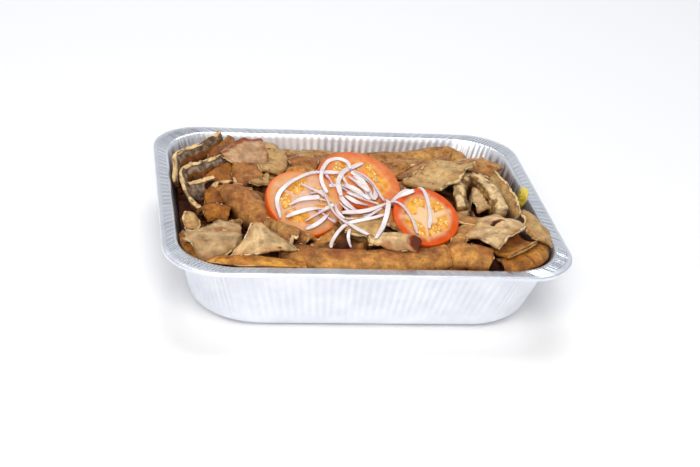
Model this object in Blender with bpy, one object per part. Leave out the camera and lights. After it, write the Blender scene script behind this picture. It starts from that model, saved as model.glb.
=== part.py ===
"""Half-size deep foil tray heaped with carved meat strips, tomato slices and onion strands.

Metres, +Z up. The origin is the middle of the tray's underside, +X runs along the long side
and -Y is the front. Routes and sizes are written in millimetres and scaled once by MM.
"""

import math

import bmesh
import bpy
import numpy as np
from mathutils import Vector
from mathutils.bvhtree import BVHTree

MM = 0.001

# A height above everything, to look down from.
SKY = 200.0

# Tray: outside of the rolled rim, then the wall and the flat bottom inside it.
RIM_HALF_X = 162.0
RIM_HALF_Y = 132.0
RIM_CORNER = 43.0
TRAY_HEIGHT = 65.0
FOIL = 0.6
BEAD_RADIUS = 1.7
BEAD_SWEEP = math.radians(150.0)
BEAD_POINTS = 5
FILLET_POINTS = 4
FLANGE_WIDTH = 11.0
FLANGE_FILLET = 2.5
WALL_LEAN = math.radians(16.0)
BOTTOM_FILLET = 18.0
CORNER_GROWTH = 0.15
CORNER_STEPS = 6

# Clearance that every piece keeps to the one on top of it and to the foil.
GAP = 0.35

# Heap of meat under the named strips: higher at the front than at the back.
BED_EDGE = 48.0
BED_CROWN = 74.0
BED_FRONT_EXTRA = 7.0
BED_BACK_REACH = 112.0
BED_RINGS = 6
BUMP_HEIGHT = 2.2
BUMP_ACROSS = 11.0
BUMP_ALONG = 13.0
BUMP_SWAY = 17.0
BUMP_SWING = 1.3
BUMP_SKEW = 31.0

# Carved strips: sheets of meat a few millimetres thick.
SHEET = 3.6
STATIONS_PER_POINT = 2
CURL_PER_FACE = 50.0
TIGHTEST_CURL = 0.2
CURVE_STEPS = 12

# Onion strands and tomato slices.
ONION_WIDTH = 4.6
ONION_THICK = 2.2
ONION_CURL = 30.0
ONION_RISE = 0.45
ONION_FOOT = 2.0
TOMATO_THICK = 7.0
TOMATO_EDGE = 2.0
TOMATO_LOBE = 0.02
TOMATO_STEPS = 22

# Slivers left by the cutting that are shorter than this, or flatter, are closed up.
MIN_EDGE = 0.08
FLAT_ENOUGH = math.radians(2.0)
SMOOTH_ANGLE = math.radians(40.0)

# Each strip: route of its crown line (x, y, z), width of the flat sheet, how far it is curled
# across (degrees), how far it is rolled over sideways (degrees), and its width along the route.
# A sheet that hangs has its route along its upper edge instead, and so stands on edge.
# Strips are listed from the top of the heap down: each is cut clear of the ones before it.
STRIPS = {
    "ragged_flake_front_left": dict(
        route=[(-146, -74, 67), (-124, -76, 72), (-99, -76, 70)],
        width=46, curl=35, roll=10, taper=(0.55, 1.0, 0.6)),
    "pale_flake_right": dict(
        route=[(127, -52, 76), (110, -68, 77), (88, -87, 75)],
        width=34, curl=30, roll=8, taper=(0.8, 1.0, 0.8)),
    "shard_right_edge": dict(
        route=[(135, -40, 74), (137, -60, 73), (138, -78, 69)],
        width=14, curl=50, roll=-30, taper=(0.6, 1.0, 0.6)),
    "flake_back_right": dict(
        route=[(55, -12, 80), (75, 15, 80), (97, 42, 79)],
        width=34, curl=-22, roll=-14, taper=(0.9, 1.0, 0.7)),
    "reddish_flake": dict(
        route=[(-97, 46, 77), (-84, 48, 79), (-68, 52, 78)],
        width=27, curl=25, roll=24, taper=(0.25, 1.0, 0.75)),
    "small_roll_centre": dict(
        route=[(-6, -93, 77), (8, -94, 80), (24, -95, 80), (38, -98, 78)],
        width=30, curl=200, roll=-5, taper=(0.6, 0.9, 1.0, 1.0)),
    "loose_flap_on_roll": dict(
        route=[(-86, -80, 81), (-71, -83, 81), (-56, -88, 78)],
        width=17, curl=120, roll=-10, taper=(0.6, 1.0, 0.8)),
    "diagonal_roll": dict(
        route=[(-104, 2, 78), (-96, -20, 78), (-84, -44, 77), (-68, -68, 75), (-48, -88, 71)],
        width=52, curl=205, roll=8, taper=(0.85, 1.0, 1.0, 0.95, 0.75)),
    "front_roll": dict(
        route=[(-72, -90, 68), (-48, -98, 70), (-18, -102, 70), (10, -102, 70), (38, -98, 70),
               (60, -94, 71)],
        width=54, curl=230, roll=-12, taper=(0.75, 0.95, 1.0, 1.0, 1.0, 0.95)),
    "front_right_roll": dict(
        route=[(57, -95, 71), (76, -96, 74), (97, -101, 71)],
        width=52, curl=225, roll=-10, taper=(0.9, 1.05, 0.95)),
    "ring_right": dict(
        route=[(81, -38, 76), (83, -12, 78), (90, 12, 79), (103, 22, 79), (114, 12, 79),
               (120, -8, 78), (122, -36, 75)],
        width=26, curl=16, roll=-98, hang=True, taper=(0.9, 1.0, 1.0, 1.0, 1.0, 1.0, 0.9)),
    "ring_inner_piece": dict(
        route=[(104, 6, 75), (105, -14, 76), (102, -34, 74)],
        width=22, curl=70, roll=35, taper=(0.8, 1.0, 0.8)),
    "ring_foot": dict(
        route=[(78, -34, 72), (86, -49, 74), (102, -50, 73)],
        width=26, curl=110, roll=-20, taper=(0.8, 1.0, 0.9)),
    "corner_piece": dict(
        route=[(102, 47, 73), (118, 52, 75), (133, 40, 73)],
        width=30, curl=70, roll=8, taper=(0.8, 1.0, 0.8)),
    "outer_strip_right": dict(
        route=[(127, 38, 74), (133, 15, 75), (136, -11, 74), (136, -34, 71)],
        width=25, curl=30, roll=52, hang=True, taper=(0.7, 1.0, 1.0, 0.8)),
    "curl_right": dict(
        route=[(100, -94, 70), (112, -85, 73), (127, -75, 72)],
        width=36, curl=190, roll=-20, taper=(0.9, 1.0, 0.8)),
    "roll_front_right_corner": dict(
        route=[(143, -74, 65), (136, -92, 67), (122, -104, 67), (105, -109, 65)],
        width=36, curl=150, roll=-28, taper=(0.6, 1.0, 1.0, 0.75)),
    "long_roll_back": dict(
        route=[(24, 82, 65), (45, 84, 66), (66, 87, 67), (84, 92, 69), (98, 94, 70),
               (107, 84, 70), (109, 64, 69)],
        width=30, curl=215, roll=-8, taper=(0.6, 0.9, 1.0, 1.0, 1.0, 1.0, 0.8)),
    "second_roll_back": dict(
        route=[(40, 18, 74), (56, 34, 75), (74, 50, 75), (92, 68, 73)],
        width=32, curl=150, roll=-8, taper=(0.8, 1.0, 1.0, 0.8)),
    "left_roll": dict(
        route=[(-103, 94, 75), (-108, 60, 76), (-114, 28, 74), (-117, -2, 71), (-119, -22, 68)],
        width=32, curl=125, roll=4, taper=(0.8, 1.0, 1.0, 1.0, 0.8)),
    "pleat_outer": dict(
        route=[(-108, 101, 74), (-122, 86, 74), (-136, 70, 73), (-146, 54, 71), (-148, 34, 68),
               (-147, 12, 64)],
        width=25, curl=12, roll=100, hang=True, taper=(0.8, 1.0, 1.0, 1.0, 0.9, 0.7)),
    "pleat_middle": dict(
        route=[(-110, 67, 73), (-123, 54, 72), (-134, 44, 71), (-141, 32, 70), (-142, 12, 67),
               (-139, -8, 65), (-127, -26, 62)],
        width=23, curl=12, roll=92, hang=True, taper=(0.8, 1.0, 1.0, 1.0, 1.0, 1.0, 0.7)),
    "pleat_inner": dict(
        route=[(-118, 26, 70), (-127, 18, 69), (-134, 15, 68)],
        width=18, curl=20, roll=75, hang=True, taper=(0.8, 1.0, 1.0)),
    "sheet_back_left": dict(
        route=[(-97, 72, 75), (-91, 38, 76), (-85, 4, 73)],
        width=30, curl=50, roll=6, taper=(0.9, 1.0, 0.8)),
    "pale_flake_back": dict(
        route=[(-84, 58, 74), (-68, 60, 77), (-52, 52, 76)],
        width=38, curl=20, roll=16, taper=(0.6, 1.0, 0.8)),
    "small_pale_flake": dict(
        route=[(-90, 10, 76), (-80, 8, 77), (-68, 8, 76)],
        width=18, curl=30, roll=10, taper=(0.6, 1.0, 0.6)),
    "piece_back_middle": dict(
        route=[(-51, 46, 73), (-40, 48, 74), (-24, 46, 72)],
        width=26, curl=60, roll=10, taper=(0.7, 1.0, 0.7)),
    "short_roll_left": dict(
        route=[(-131, -40, 70), (-118, -34, 72), (-104, -38, 71)],
        width=30, curl=170, roll=-5, taper=(0.9, 1.0, 0.9)),
    "pale_triangle_front": dict(
        route=[(-88, -70, 75), (-84, -86, 71), (-79, -103, 67)],
        width=56, curl=26, roll=4, taper=(0.15, 0.6, 1.0)),
    "strip_front_left": dict(
        route=[(-129, -100, 62), (-105, -105, 64), (-80, -107, 64), (-52, -109, 62)],
        width=26, curl=90, roll=-24, taper=(0.6, 1.0, 1.0, 0.7)),
    "flake_left_low": dict(
        route=[(-136, -34, 66), (-137, -48, 67), (-138, -62, 64)],
        width=16, curl=40, roll=-10, taper=(0.7, 1.0, 0.7)),
    "strip_left_front_corner": dict(
        route=[(-142, -58, 62), (-140, -82, 63), (-131, -100, 61)],
        width=22, curl=60, roll=16, taper=(0.6, 1.0, 0.6)),
    "strip_between_tomatoes": dict(
        route=[(20, -36, 82), (34, -36, 83), (50, -34, 83)],
        width=20, curl=60, roll=20, taper=(0.8, 1.0, 0.7)),
    "flake_centre": dict(
        route=[(-23, -75, 77), (-5, -78, 79), (13, -79, 78)],
        width=29, curl=30, roll=12, taper=(0.6, 1.0, 0.8)),
    "golden_flake_centre": dict(
        route=[(8, -60, 82), (19, -68, 83), (30, -80, 80)],
        width=24, curl=40, roll=10, taper=(0.7, 1.0, 0.8)),
    "strip_under_tomato": dict(
        route=[(64, -86, 73), (78, -72, 74), (88, -58, 72)],
        width=20, curl=60, roll=0, taper=(0.7, 1.0, 0.7)),
}

# Tomato slices: centre, radius, how far each faces the front and leans to the right (degrees).
TOMATOES = {
    "tomato_slice_left": dict(centre=(-49, -46, 80), radius=31.5, front=28, right=6),
    "tomato_slice_back": dict(centre=(1, -9, 82), radius=35.5, front=14, right=10),
    "tomato_slice_right": dict(centre=(45, -67, 80), radius=27.0, front=30, right=4),
}

# Onion strands in the order they were dropped: each lies on what is already there, so a route
# gives only where it runs (x, y).
ONIONS = {
    "onion_leaf_lower_left": [(-50, -73), (-42, -69), (-35, -64), (-30, -57)],
    "onion_wedge_left": [(-62, -53), (-53, -48), (-45, -46), (-37, -46)],
    "onion_strand_left_lower": [(-65, -65), (-58, -60), (-49, -56), (-40, -53), (-31, -52)],
    "onion_strand_front": [(-31, -95), (-30, -86), (-26, -77), (-18, -70), (-10, -66), (2, -62),
                           (16, -60)],
    "onion_leaf_right_lower": [(-20, -22), (-11, -28), (-2, -32), (6, -37)],
    "onion_leaf_right_middle": [(-10, -13), (-2, -20), (6, -28)],
    "onion_arc_left": [(-70, -66), (-72, -54), (-69, -44), (-62, -36), (-52, -29), (-41, -22),
                       (-29, -13), (-16, -8)],
    "onion_leaf_right_upper": [(-6, -5), (4, -9), (11, -16), (12, -27), (9, -36)],
    "onion_short_left_upper": [(-51, -34), (-44, -37), (-37, -40), (-30, -44)],
    "onion_strand_left_pink": [(-50, -65), (-42, -61), (-34, -56), (-26, -50)],
    "onion_short_right": [(12, -46), (20, -48), (28, -49), (39, -47)],
    "onion_arc_to_right_slice": [(-18, -43), (-9, -45), (2, -44), (12, -43), (19, -46), (25, -53),
                                 (30, -62), (34, -72), (36, -84)],
    "onion_strand_on_right_slice": [(28, -36), (34, -39), (40, -46), (46, -56), (50, -66),
                                    (50, -76), (47, -86)],
    "onion_main_diagonal": [(-33, -38), (-31, -47), (-28, -56), (-23, -65), (-18, -74), (-12, -83),
                            (-4, -92)],
    "onion_strand_from_top": [(6, 10), (-4, 2), (-12, -6), (-17, -16), (-20, -28), (-19, -42)],
    "onion_loop_top": [(-31, -44), (-34, -28), (-30, -9), (-24, 4), (-15, 10), (-8, 6), (-7, -4)],
    "onion_arc_right": [(-2, -3), (7, -6), (15, -14), (19, -25), (21, -38), (20, -52), (16, -66),
                        (10, -81), (2, -97)],
}

FOIL_COLOUR = (0.80, 0.81, 0.83, 1.0)
CRUST_COLOUR = (0.42, 0.20, 0.08, 1.0)
BED_COLOUR = (0.34, 0.19, 0.09, 1.0)
TOMATO_COLOUR = (0.80, 0.20, 0.05, 1.0)
ONION_COLOUR = (0.82, 0.76, 0.78, 1.0)


def material(name, colour, roughness, metallic):
    """A Principled material with one colour."""
    made = bpy.data.materials.new(name)
    made.use_nodes = True
    shader = made.node_tree.nodes["Principled BSDF"]
    shader.inputs["Base Color"].default_value = colour
    shader.inputs["Roughness"].default_value = roughness
    shader.inputs["Metallic"].default_value = metallic
    made.diffuse_color = colour
    return made


def add_object(name, points, faces, finish):
    """One closed mesh object from points in millimetres."""
    mesh = bpy.data.meshes.new(name)
    mesh.from_pydata([tuple(point) for point in np.asarray(points) * MM], [], faces)
    body = bmesh.new()
    body.from_mesh(mesh)
    bmesh.ops.recalc_face_normals(body, faces=body.faces)
    bmesh.ops.triangulate(body, faces=body.faces)
    body.to_mesh(mesh)
    body.free()
    mesh.shade_smooth()
    mesh.set_sharp_from_angle(angle=SMOOTH_ANGLE)
    made = bpy.data.objects.new(name, mesh)
    bpy.context.scene.collection.objects.link(made)
    if finish:
        mesh.materials.append(finish)
    return made


def rounded_ring(half_x, half_y, corner, height):
    """Points round a rounded rectangle, anticlockwise from above."""
    ring = []
    for turn, (sign_x, sign_y) in enumerate([(1, 1), (-1, 1), (-1, -1), (1, -1)]):
        middle_x = sign_x * (half_x - corner)
        middle_y = sign_y * (half_y - corner)
        for step in range(CORNER_STEPS + 1):
            angle = math.pi / 2 * (turn + step / CORNER_STEPS)
            ring.append((middle_x + corner * math.cos(angle),
                         middle_y + corner * math.sin(angle), height))
    return ring


def bridge(count, rows):
    """Quads between closed rows of equally many points."""
    faces = []
    for row in range(rows - 1):
        for place in range(count):
            following = (place + 1) % count
            faces.append((row * count + place, row * count + following,
                          (row + 1) * count + following, (row + 1) * count + place))
    return faces


def wall_inset(height):
    """How far the inner wall has come in from the flange's inner edge at a height."""
    return (TRAY_HEIGHT - height) * math.tan(WALL_LEAN)


def tray_section(foil):
    """The foil's section as (inset from the rim's outside, height), round the whole sheet."""
    bead_height = TRAY_HEIGHT - BEAD_RADIUS
    flange_low = bead_height - FOIL / 2
    wall_foot = FLANGE_WIDTH + wall_inset(BOTTOM_FILLET)
    fillet_inset = wall_foot + BOTTOM_FILLET * math.cos(WALL_LEAN)
    wall_head = FLANGE_WIDTH + FLANGE_FILLET * math.tan(WALL_LEAN)
    outer = []
    inner = []
    for step in range(FILLET_POINTS):
        angle = (math.pi / 2 - WALL_LEAN) * step / (FILLET_POINTS - 1)
        for side, radius in ((outer, BOTTOM_FILLET), (inner, BOTTOM_FILLET - foil)):
            side.append((fillet_inset - radius * math.sin(angle),
                         BOTTOM_FILLET - radius * math.cos(angle)))
    outer.append((wall_head, flange_low - FLANGE_FILLET))
    outer.append((FLANGE_WIDTH - FLANGE_FILLET / 2, flange_low))
    inner.append((wall_head + foil, flange_low - FLANGE_FILLET))
    inner.append((FLANGE_WIDTH, flange_low + foil))
    bead = []
    for step in range(BEAD_POINTS):
        angle = BEAD_SWEEP * (2 * step / (BEAD_POINTS - 1) - 1)
        bead.append((BEAD_RADIUS - BEAD_RADIUS * math.cos(angle),
                     bead_height + BEAD_RADIUS * math.sin(angle)))
    return outer + bead + inner[::-1]


def tray_body(foil):
    """Points and faces of the pressed foil tray with its flat flange and rolled rim."""
    section = tray_section(foil)
    points = []
    for inset, height in section:
        corner = RIM_CORNER + inset * CORNER_GROWTH
        points += rounded_ring(RIM_HALF_X - inset, RIM_HALF_Y - inset, corner, height)
    count = 4 * (CORNER_STEPS + 1)
    faces = bridge(count, len(section))
    faces.append(tuple(range(count))[::-1])
    faces.append(tuple(range(count * (len(section) - 1), count * len(section))))
    return points, faces


def inner_ring(inset, height):
    """A ring that keeps clear of the tray's inner side by the gap."""
    clear = inset + 2 * GAP
    corner = RIM_CORNER + inset * CORNER_GROWTH
    return rounded_ring(RIM_HALF_X - clear, RIM_HALF_Y - clear, corner, height)


def bed_height(x, y):
    """Uneven top of the heap under the strips."""
    across = min(1.0, abs(x) / RIM_HALF_X)
    along = min(1.0, abs(y) / (RIM_HALF_Y if y < 0 else BED_BACK_REACH))
    crown = (1 - across ** 2) * (1 - along ** 2)
    front = max(0.0, -y / RIM_HALF_Y) ** 2 * BED_FRONT_EXTRA
    bumps = (math.sin(x / BUMP_ACROSS + BUMP_SWING * math.sin(y / BUMP_SWAY))
             * math.cos(y / BUMP_ALONG + x / BUMP_SKEW))
    return BED_EDGE + (BED_CROWN - BED_EDGE) * crown + front + BUMP_HEIGHT * bumps


def make_bed(finish):
    """The heap's core: fills the tray up to an uneven top."""
    count = 4 * (CORNER_STEPS + 1)
    points = []
    inner = sorted(tray_section(FOIL)[-FILLET_POINTS - 1:], key=lambda spot: spot[1])
    for inset, height in inner[:-1]:
        points += inner_ring(inset, height + GAP)
    insets, heights = zip(*inner)
    edge = inner_ring(float(np.interp(BED_EDGE, heights, insets)), 0.0)
    for ring in range(BED_RINGS):
        scale = 1 - ring / BED_RINGS
        for x, y, _ in edge:
            spot = bed_height(x * scale, y * scale)
            if ring == 0:
                spot = min(spot, BED_EDGE)
            points.append((x * scale, y * scale, spot))
    rows = len(points) // count
    faces = bridge(count, rows)
    faces.append(tuple(range(count))[::-1])
    points.append((0.0, 0.0, bed_height(0.0, 0.0)))
    top = len(points) - 1
    start = count * (rows - 1)
    for place in range(count):
        faces.append((start + place, start + (place + 1) % count, top))
    return add_object("meat_bed", points, faces, finish)


def smooth_route(route, stations):
    """Points spaced evenly along a smooth curve through the route."""
    knots = np.array(route, dtype=float)
    first = 2 * knots[0] - knots[1]
    last = 2 * knots[-1] - knots[-2]
    padded = np.vstack([first, knots, last])
    fine = []
    for part in range(len(knots) - 1):
        p0, p1, p2, p3 = padded[part:part + 4]
        for step in np.linspace(0, 1, CURVE_STEPS, endpoint=False):
            fine.append(0.5 * (2 * p1 + (p2 - p0) * step + (2 * p0 - 5 * p1 + 4 * p2 - p3) * step ** 2
                               + (3 * p1 - p0 - 3 * p2 + p3) * step ** 3))
    fine.append(knots[-1])
    fine = np.array(fine)
    run = np.concatenate([[0], np.cumsum(np.linalg.norm(np.diff(fine, axis=0), axis=1))])
    even = np.linspace(0, run[-1], stations)
    return np.column_stack([np.interp(even, run, fine[:, axis]) for axis in range(3)])


def sheet_body(strip, grow=0.0):
    """Points and faces of a curled sheet swept along its route; grow swells it all round."""
    stations = strip.get("stations", STATIONS_PER_POINT * (len(strip["route"]) - 1) + 1)
    across = strip.get("across", 3 + int(abs(strip["curl"]) / CURL_PER_FACE))
    thick = strip.get("thick", SHEET)
    spine = smooth_route(strip["route"], stations)
    tangent = np.gradient(spine, axis=0)
    tangent /= np.linalg.norm(tangent, axis=1)[:, None]
    spine[0] -= tangent[0] * grow
    spine[-1] += tangent[-1] * grow
    sideways = np.cross(tangent, (0, 0, 1))
    sideways /= np.linalg.norm(sideways, axis=1)[:, None]
    upward = np.cross(sideways, tangent)
    turn = math.radians(strip["roll"])
    crown = math.cos(turn) * upward + math.sin(turn) * sideways
    spread = math.cos(turn) * sideways - math.sin(turn) * upward
    taper = strip["taper"]
    widths = strip["width"] * np.interp(np.linspace(0, 1, stations),
                                        np.linspace(0, 1, len(taper)), taper)
    bend = math.radians(abs(strip["curl"]))
    sign = math.copysign(1, strip["curl"])
    shift = math.copysign(bend / 2, turn) if strip.get("hang") else 0.0
    points = []
    for station in range(stations):
        radius = widths[station] / bend
        half = bend / 2 + grow / radius
        angles = np.linspace(-half, half, across) + shift
        for depth, order in ((-grow, angles), (thick + grow, angles[::-1])):
            reach = max(radius - sign * depth, grow + TIGHTEST_CURL)
            for angle in order:
                points.append(spine[station] + spread[station] * reach * math.sin(angle)
                              + crown[station] * sign * (reach * math.cos(angle) - radius))
    count = 2 * across
    faces = bridge(count, stations)
    faces.append(tuple(range(count))[::-1])
    faces.append(tuple(range(count * (stations - 1), count * stations)))
    return points, faces


def slice_body(piece, grow=0.0):
    """Points and faces of a tomato slice with a rounded skin edge; grow swells it all round."""
    front = math.radians(piece["front"])
    right = math.radians(piece["right"])
    normal = Vector((math.sin(right), -math.sin(front), math.cos(front) * math.cos(right)))
    normal.normalize()
    across = Vector((1, 0, 0)) - normal * normal.x
    across.normalize()
    ahead = normal.cross(across)
    half = TOMATO_THICK / 2 + grow
    radius = piece["radius"]
    section = ((radius - TOMATO_EDGE, -half), (radius, -half / 2),
               (radius, half / 2), (radius - TOMATO_EDGE, half))
    points = []
    for reach, lift in section:
        for step in range(TOMATO_STEPS):
            angle = 2 * math.pi * step / TOMATO_STEPS
            lobe = 1 + TOMATO_LOBE * math.sin(3 * angle + radius)
            spread = (reach + grow) * lobe
            points.append(Vector(piece["centre"]) + across * spread * math.cos(angle)
                          + ahead * spread * math.sin(angle) + normal * lift)
    faces = bridge(TOMATO_STEPS, len(section))
    faces.append(tuple(range(TOMATO_STEPS))[::-1])
    faces.append(tuple(range(TOMATO_STEPS * (len(section) - 1), TOMATO_STEPS * len(section))))
    return points, faces


def top_below(x, y, trees):
    """Height of the highest surface at a spot."""
    start = Vector((x, y, SKY))
    heights = [0.0]
    for tree in trees:
        hit = tree.ray_cast(start, Vector((0, 0, -1)))[0]
        if hit:
            heights.append(hit.z)
    return max(heights)


def settle(route, trees):
    """The strip of an onion strand that lies on the surfaces under it without sharp bends."""
    flat = smooth_route([(x, y, 0.0) for x, y in route], 2 * len(route) - 1)
    heights = []
    for x, y, _ in flat:
        steps = (-ONION_FOOT, 0, ONION_FOOT)
        spots = [(x + dx, y + dy) for dx in steps for dy in steps]
        heights.append(max(top_below(*spot, trees) for spot in spots))
    run = np.concatenate([[0], np.cumsum(np.linalg.norm(np.diff(flat[:, :2], axis=0), axis=1))])
    lifted = [max(height - ONION_RISE * abs(here - there) for height, there in zip(heights, run))
              for here in run]
    points = [(x, y, lift + ONION_THICK + GAP) for (x, y, _), lift in zip(flat, lifted)]
    return dict(route=points, width=ONION_WIDTH, curl=ONION_CURL, roll=0, taper=(0.8, 1.0, 1.0, 0.8),
                thick=ONION_THICK, stations=len(points), across=2)


def island_size(island):
    """How much room a set of joined vertices takes up."""
    spots = np.array([vert.co for vert in island])
    return float(np.prod(np.ptp(spots, axis=0) + MM))


def largest_island(mesh):
    """Keeps only the biggest separate body of a mesh and closes up slivers."""
    body = bmesh.new()
    body.from_mesh(mesh)
    bmesh.ops.dissolve_limit(body, angle_limit=FLAT_ENOUGH, verts=body.verts, edges=body.edges)
    bmesh.ops.remove_doubles(body, verts=body.verts, dist=MIN_EDGE * MM)
    bmesh.ops.dissolve_degenerate(body, dist=MIN_EDGE * MM, edges=body.edges)
    bmesh.ops.triangulate(body, faces=body.faces)
    body.verts.ensure_lookup_table()
    unseen = set(body.verts)
    islands = []
    while unseen:
        stack = [unseen.pop()]
        island = list(stack)
        while stack:
            for edge in stack.pop().link_edges:
                for vert in edge.verts:
                    if vert in unseen:
                        unseen.remove(vert)
                        stack.append(vert)
                        island.append(vert)
        islands.append(island)
    islands.sort(key=island_size, reverse=True)
    for island in islands[1:]:
        bmesh.ops.delete(body, geom=island, context="VERTS")
    body.to_mesh(mesh)
    body.free()
    mesh.shade_smooth()
    mesh.set_sharp_from_angle(angle=SMOOTH_ANGLE)


def boxes_meet(first, second):
    """Whether the two objects' bounding boxes overlap."""
    low_a, high_a = np.min(first.bound_box, axis=0), np.max(first.bound_box, axis=0)
    low_b, high_b = np.min(second.bound_box, axis=0), np.max(second.bound_box, axis=0)
    return bool(np.all(low_a < high_b) and np.all(low_b < high_a))


def carve(piece, cutters):
    """Cuts a piece clear of the swollen shapes of the pieces on top of it."""
    meeting = [cutter for cutter in cutters if boxes_meet(piece, cutter)]
    for cutter in meeting:
        cut = piece.modifiers.new("clear", "BOOLEAN")
        cut.object = cutter
        cut.solver = "EXACT"
        bpy.context.view_layer.update()
        graph = bpy.context.evaluated_depsgraph_get()
        before = piece.data
        piece.data = bpy.data.meshes.new_from_object(piece.evaluated_get(graph))
        piece.modifiers.clear()
        name = before.name
        bpy.data.meshes.remove(before)
        piece.data.name = name
        largest_island(piece.data)


def main():
    """Builds the tray, then the pieces from the top of the heap down to its core."""
    for leftover in list(bpy.data.objects):
        bpy.data.objects.remove(leftover)
    foil = material("pressed_aluminium_foil", FOIL_COLOUR, 0.35, 1.0)
    crust = material("carved_meat", CRUST_COLOUR, 0.55, 0.0)
    heap = material("meat_under_the_strips", BED_COLOUR, 0.6, 0.0)
    tomato = material("tomato", TOMATO_COLOUR, 0.3, 0.0)
    onion = material("red_onion", ONION_COLOUR, 0.3, 0.0)
    add_object("tray", *tray_body(FOIL), foil)
    food = [slice_body(piece) for piece in TOMATOES.values()]
    food += [sheet_body(strip) for strip in STRIPS.values()]
    trees = [BVHTree.FromPolygons(*body) for body in food]
    strands = {}
    for name, route in ONIONS.items():
        strands[name] = settle(route, trees)
        trees.append(BVHTree.FromPolygons(*sheet_body(strands[name])))
    cutters = [add_object("tray_clearance", *tray_body(FOIL + GAP), None)]
    for name in reversed(strands):
        made = add_object(name, *sheet_body(strands[name]), onion)
        carve(made, cutters)
        cutters.append(add_object(name + "_clearance", *sheet_body(strands[name], GAP), None))
    for name, piece in TOMATOES.items():
        made = add_object(name, *slice_body(piece), tomato)
        carve(made, cutters)
        cutters.append(add_object(name + "_clearance", *slice_body(piece, GAP), None))
    for name, strip in STRIPS.items():
        made = add_object(name, *sheet_body(strip), crust)
        carve(made, cutters)
        cutters.append(add_object(name + "_clearance", *sheet_body(strip, GAP), None))
    carve(make_bed(heap), cutters[1:])
    for cutter in cutters:
        bpy.data.objects.remove(cutter)


main()
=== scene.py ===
import itertools
import math

import bmesh
import bpy
import numpy as np
from mathutils import Euler, Matrix, Vector
from mathutils.bvhtree import BVHTree


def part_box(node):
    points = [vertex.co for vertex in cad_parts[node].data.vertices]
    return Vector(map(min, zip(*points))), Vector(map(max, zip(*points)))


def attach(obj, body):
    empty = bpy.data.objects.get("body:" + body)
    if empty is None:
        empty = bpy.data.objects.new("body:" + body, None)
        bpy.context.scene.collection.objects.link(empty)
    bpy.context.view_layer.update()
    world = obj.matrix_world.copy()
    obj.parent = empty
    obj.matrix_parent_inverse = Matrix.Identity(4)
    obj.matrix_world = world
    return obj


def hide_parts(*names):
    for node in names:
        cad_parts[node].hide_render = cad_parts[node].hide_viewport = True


bl_info = {
    "name": "Foil Tray Meal",
    "version": (1, 0, 0),
    "blender": (4, 5, 0),
    "location": "View3D > Sidebar > Foil Tray Meal",
    "description": "A pressed foil tray heaped with carved meat, tomato slices and red onion",
    "category": "Object",
}

# A foil tray meal, dressed for show. Lengths are in millimetres, scaled once to metres by MM.
# +X runs along the tray's long side, -Y is the front, and the origin is under the tray's middle.

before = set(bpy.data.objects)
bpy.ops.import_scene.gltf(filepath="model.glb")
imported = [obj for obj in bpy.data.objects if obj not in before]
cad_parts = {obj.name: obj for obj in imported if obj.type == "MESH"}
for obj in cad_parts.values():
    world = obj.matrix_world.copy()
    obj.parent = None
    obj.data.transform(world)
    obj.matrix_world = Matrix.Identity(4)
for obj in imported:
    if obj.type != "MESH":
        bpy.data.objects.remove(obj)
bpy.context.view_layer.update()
TRAY_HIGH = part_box("tray")[1]

MM = 0.001

# The pressed tray, measured inwards from the outside of its rolled rim.
RIM_HALF_X = TRAY_HIGH.x / MM
RIM_HALF_Y = TRAY_HIGH.y / MM
RIM_CORNER = 43.0
CORNER_GROWTH = 0.15
TRAY_HEIGHT = 65.0
FOIL = 0.4
BEAD_RADIUS = 1.7
FLANGE_WIDTH = 11.0
FLANGE_FILLET = 1.3
WALL_LEAN = math.radians(16.0)
BOTTOM_FILLET = 18.0

# The flange lies this far under the tray's top, so that its ripples stay below it.
RIPPLE_ROOM = 0.4

# Insets of the rows of points across the flange, how far apart points are along the straight
# sides, and how many there are in each corner.
FLANGE_ROWS = (9.7, 8.4, 7.1, 5.8, 4.6, 3.8)
TRAY_STEP = 1.15
TRAY_CORNER_STEPS = 84

# Food stays this far from the foil.
WALL_GAP = 2.0

# The heap under the named strips: its height at the edge and at the crown, how much its front is
# raised, how far back it is high, and the rings, points and wall rows that it is drawn with.
BED_EDGE = 48.0
BED_CROWN = 74.0
BED_FRONT_EXTRA = 7.0
BED_BACK_REACH = 112.0
BED_RINGS = 84
BED_STEPS = ((84, 62), 34)
BED_WALL_HEIGHTS = (6.0, 14.0, 24.0, 36.0)

# How far a strip stays below the top of a slice or a strip that lies on it, and how far the heap
# stays below the top of a slice, a roll or a flat strip. A strip curled more than ROLL_CURL
# degrees is a roll.
STRIP_UNDER_SLICE = 7.4
STRIP_UNDER_STRIP = 4.4
HEAP_UNDER_SLICE = 8.0
HEAP_UNDER_ROLL = 13.0
HEAP_UNDER_STRIP = 4.6
ROLL_CURL = 140

# Loose things in the heap: strips, how many of them are kept for the back, behind BACK_START,
# then scraps, and seeds in each chamber of a slice.
BURIED_STRIPS = 66
BACK_STRIPS = 30
BACK_START = 30
SCRAPS = 130
SEEDS_PER_CHAMBER = 9

# Half the length, width and thickness of a tomato seed.
SEED_SIZE = (1.7, 1.05, 0.5)

# Gaps in the food are shaded from its heights on a grid: the grid's step, the height that it
# starts from, and how far below the pieces round it the food begins and ends to darken.
GAP_STEP = 2.0
GAP_FLOOR = 30.0
GAP_SHADE = (5.0, 15.0)

# Half the thickness of a tomato slice, and the thickness of an onion strand.
TOMATO_HALF = 3.5
ONION_THICK = 1.3

# The sauce on the right wall: its middle along the wall, and half its length.
SMEAR_Y = 17.0
SMEAR_HALF = 10.0

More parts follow.
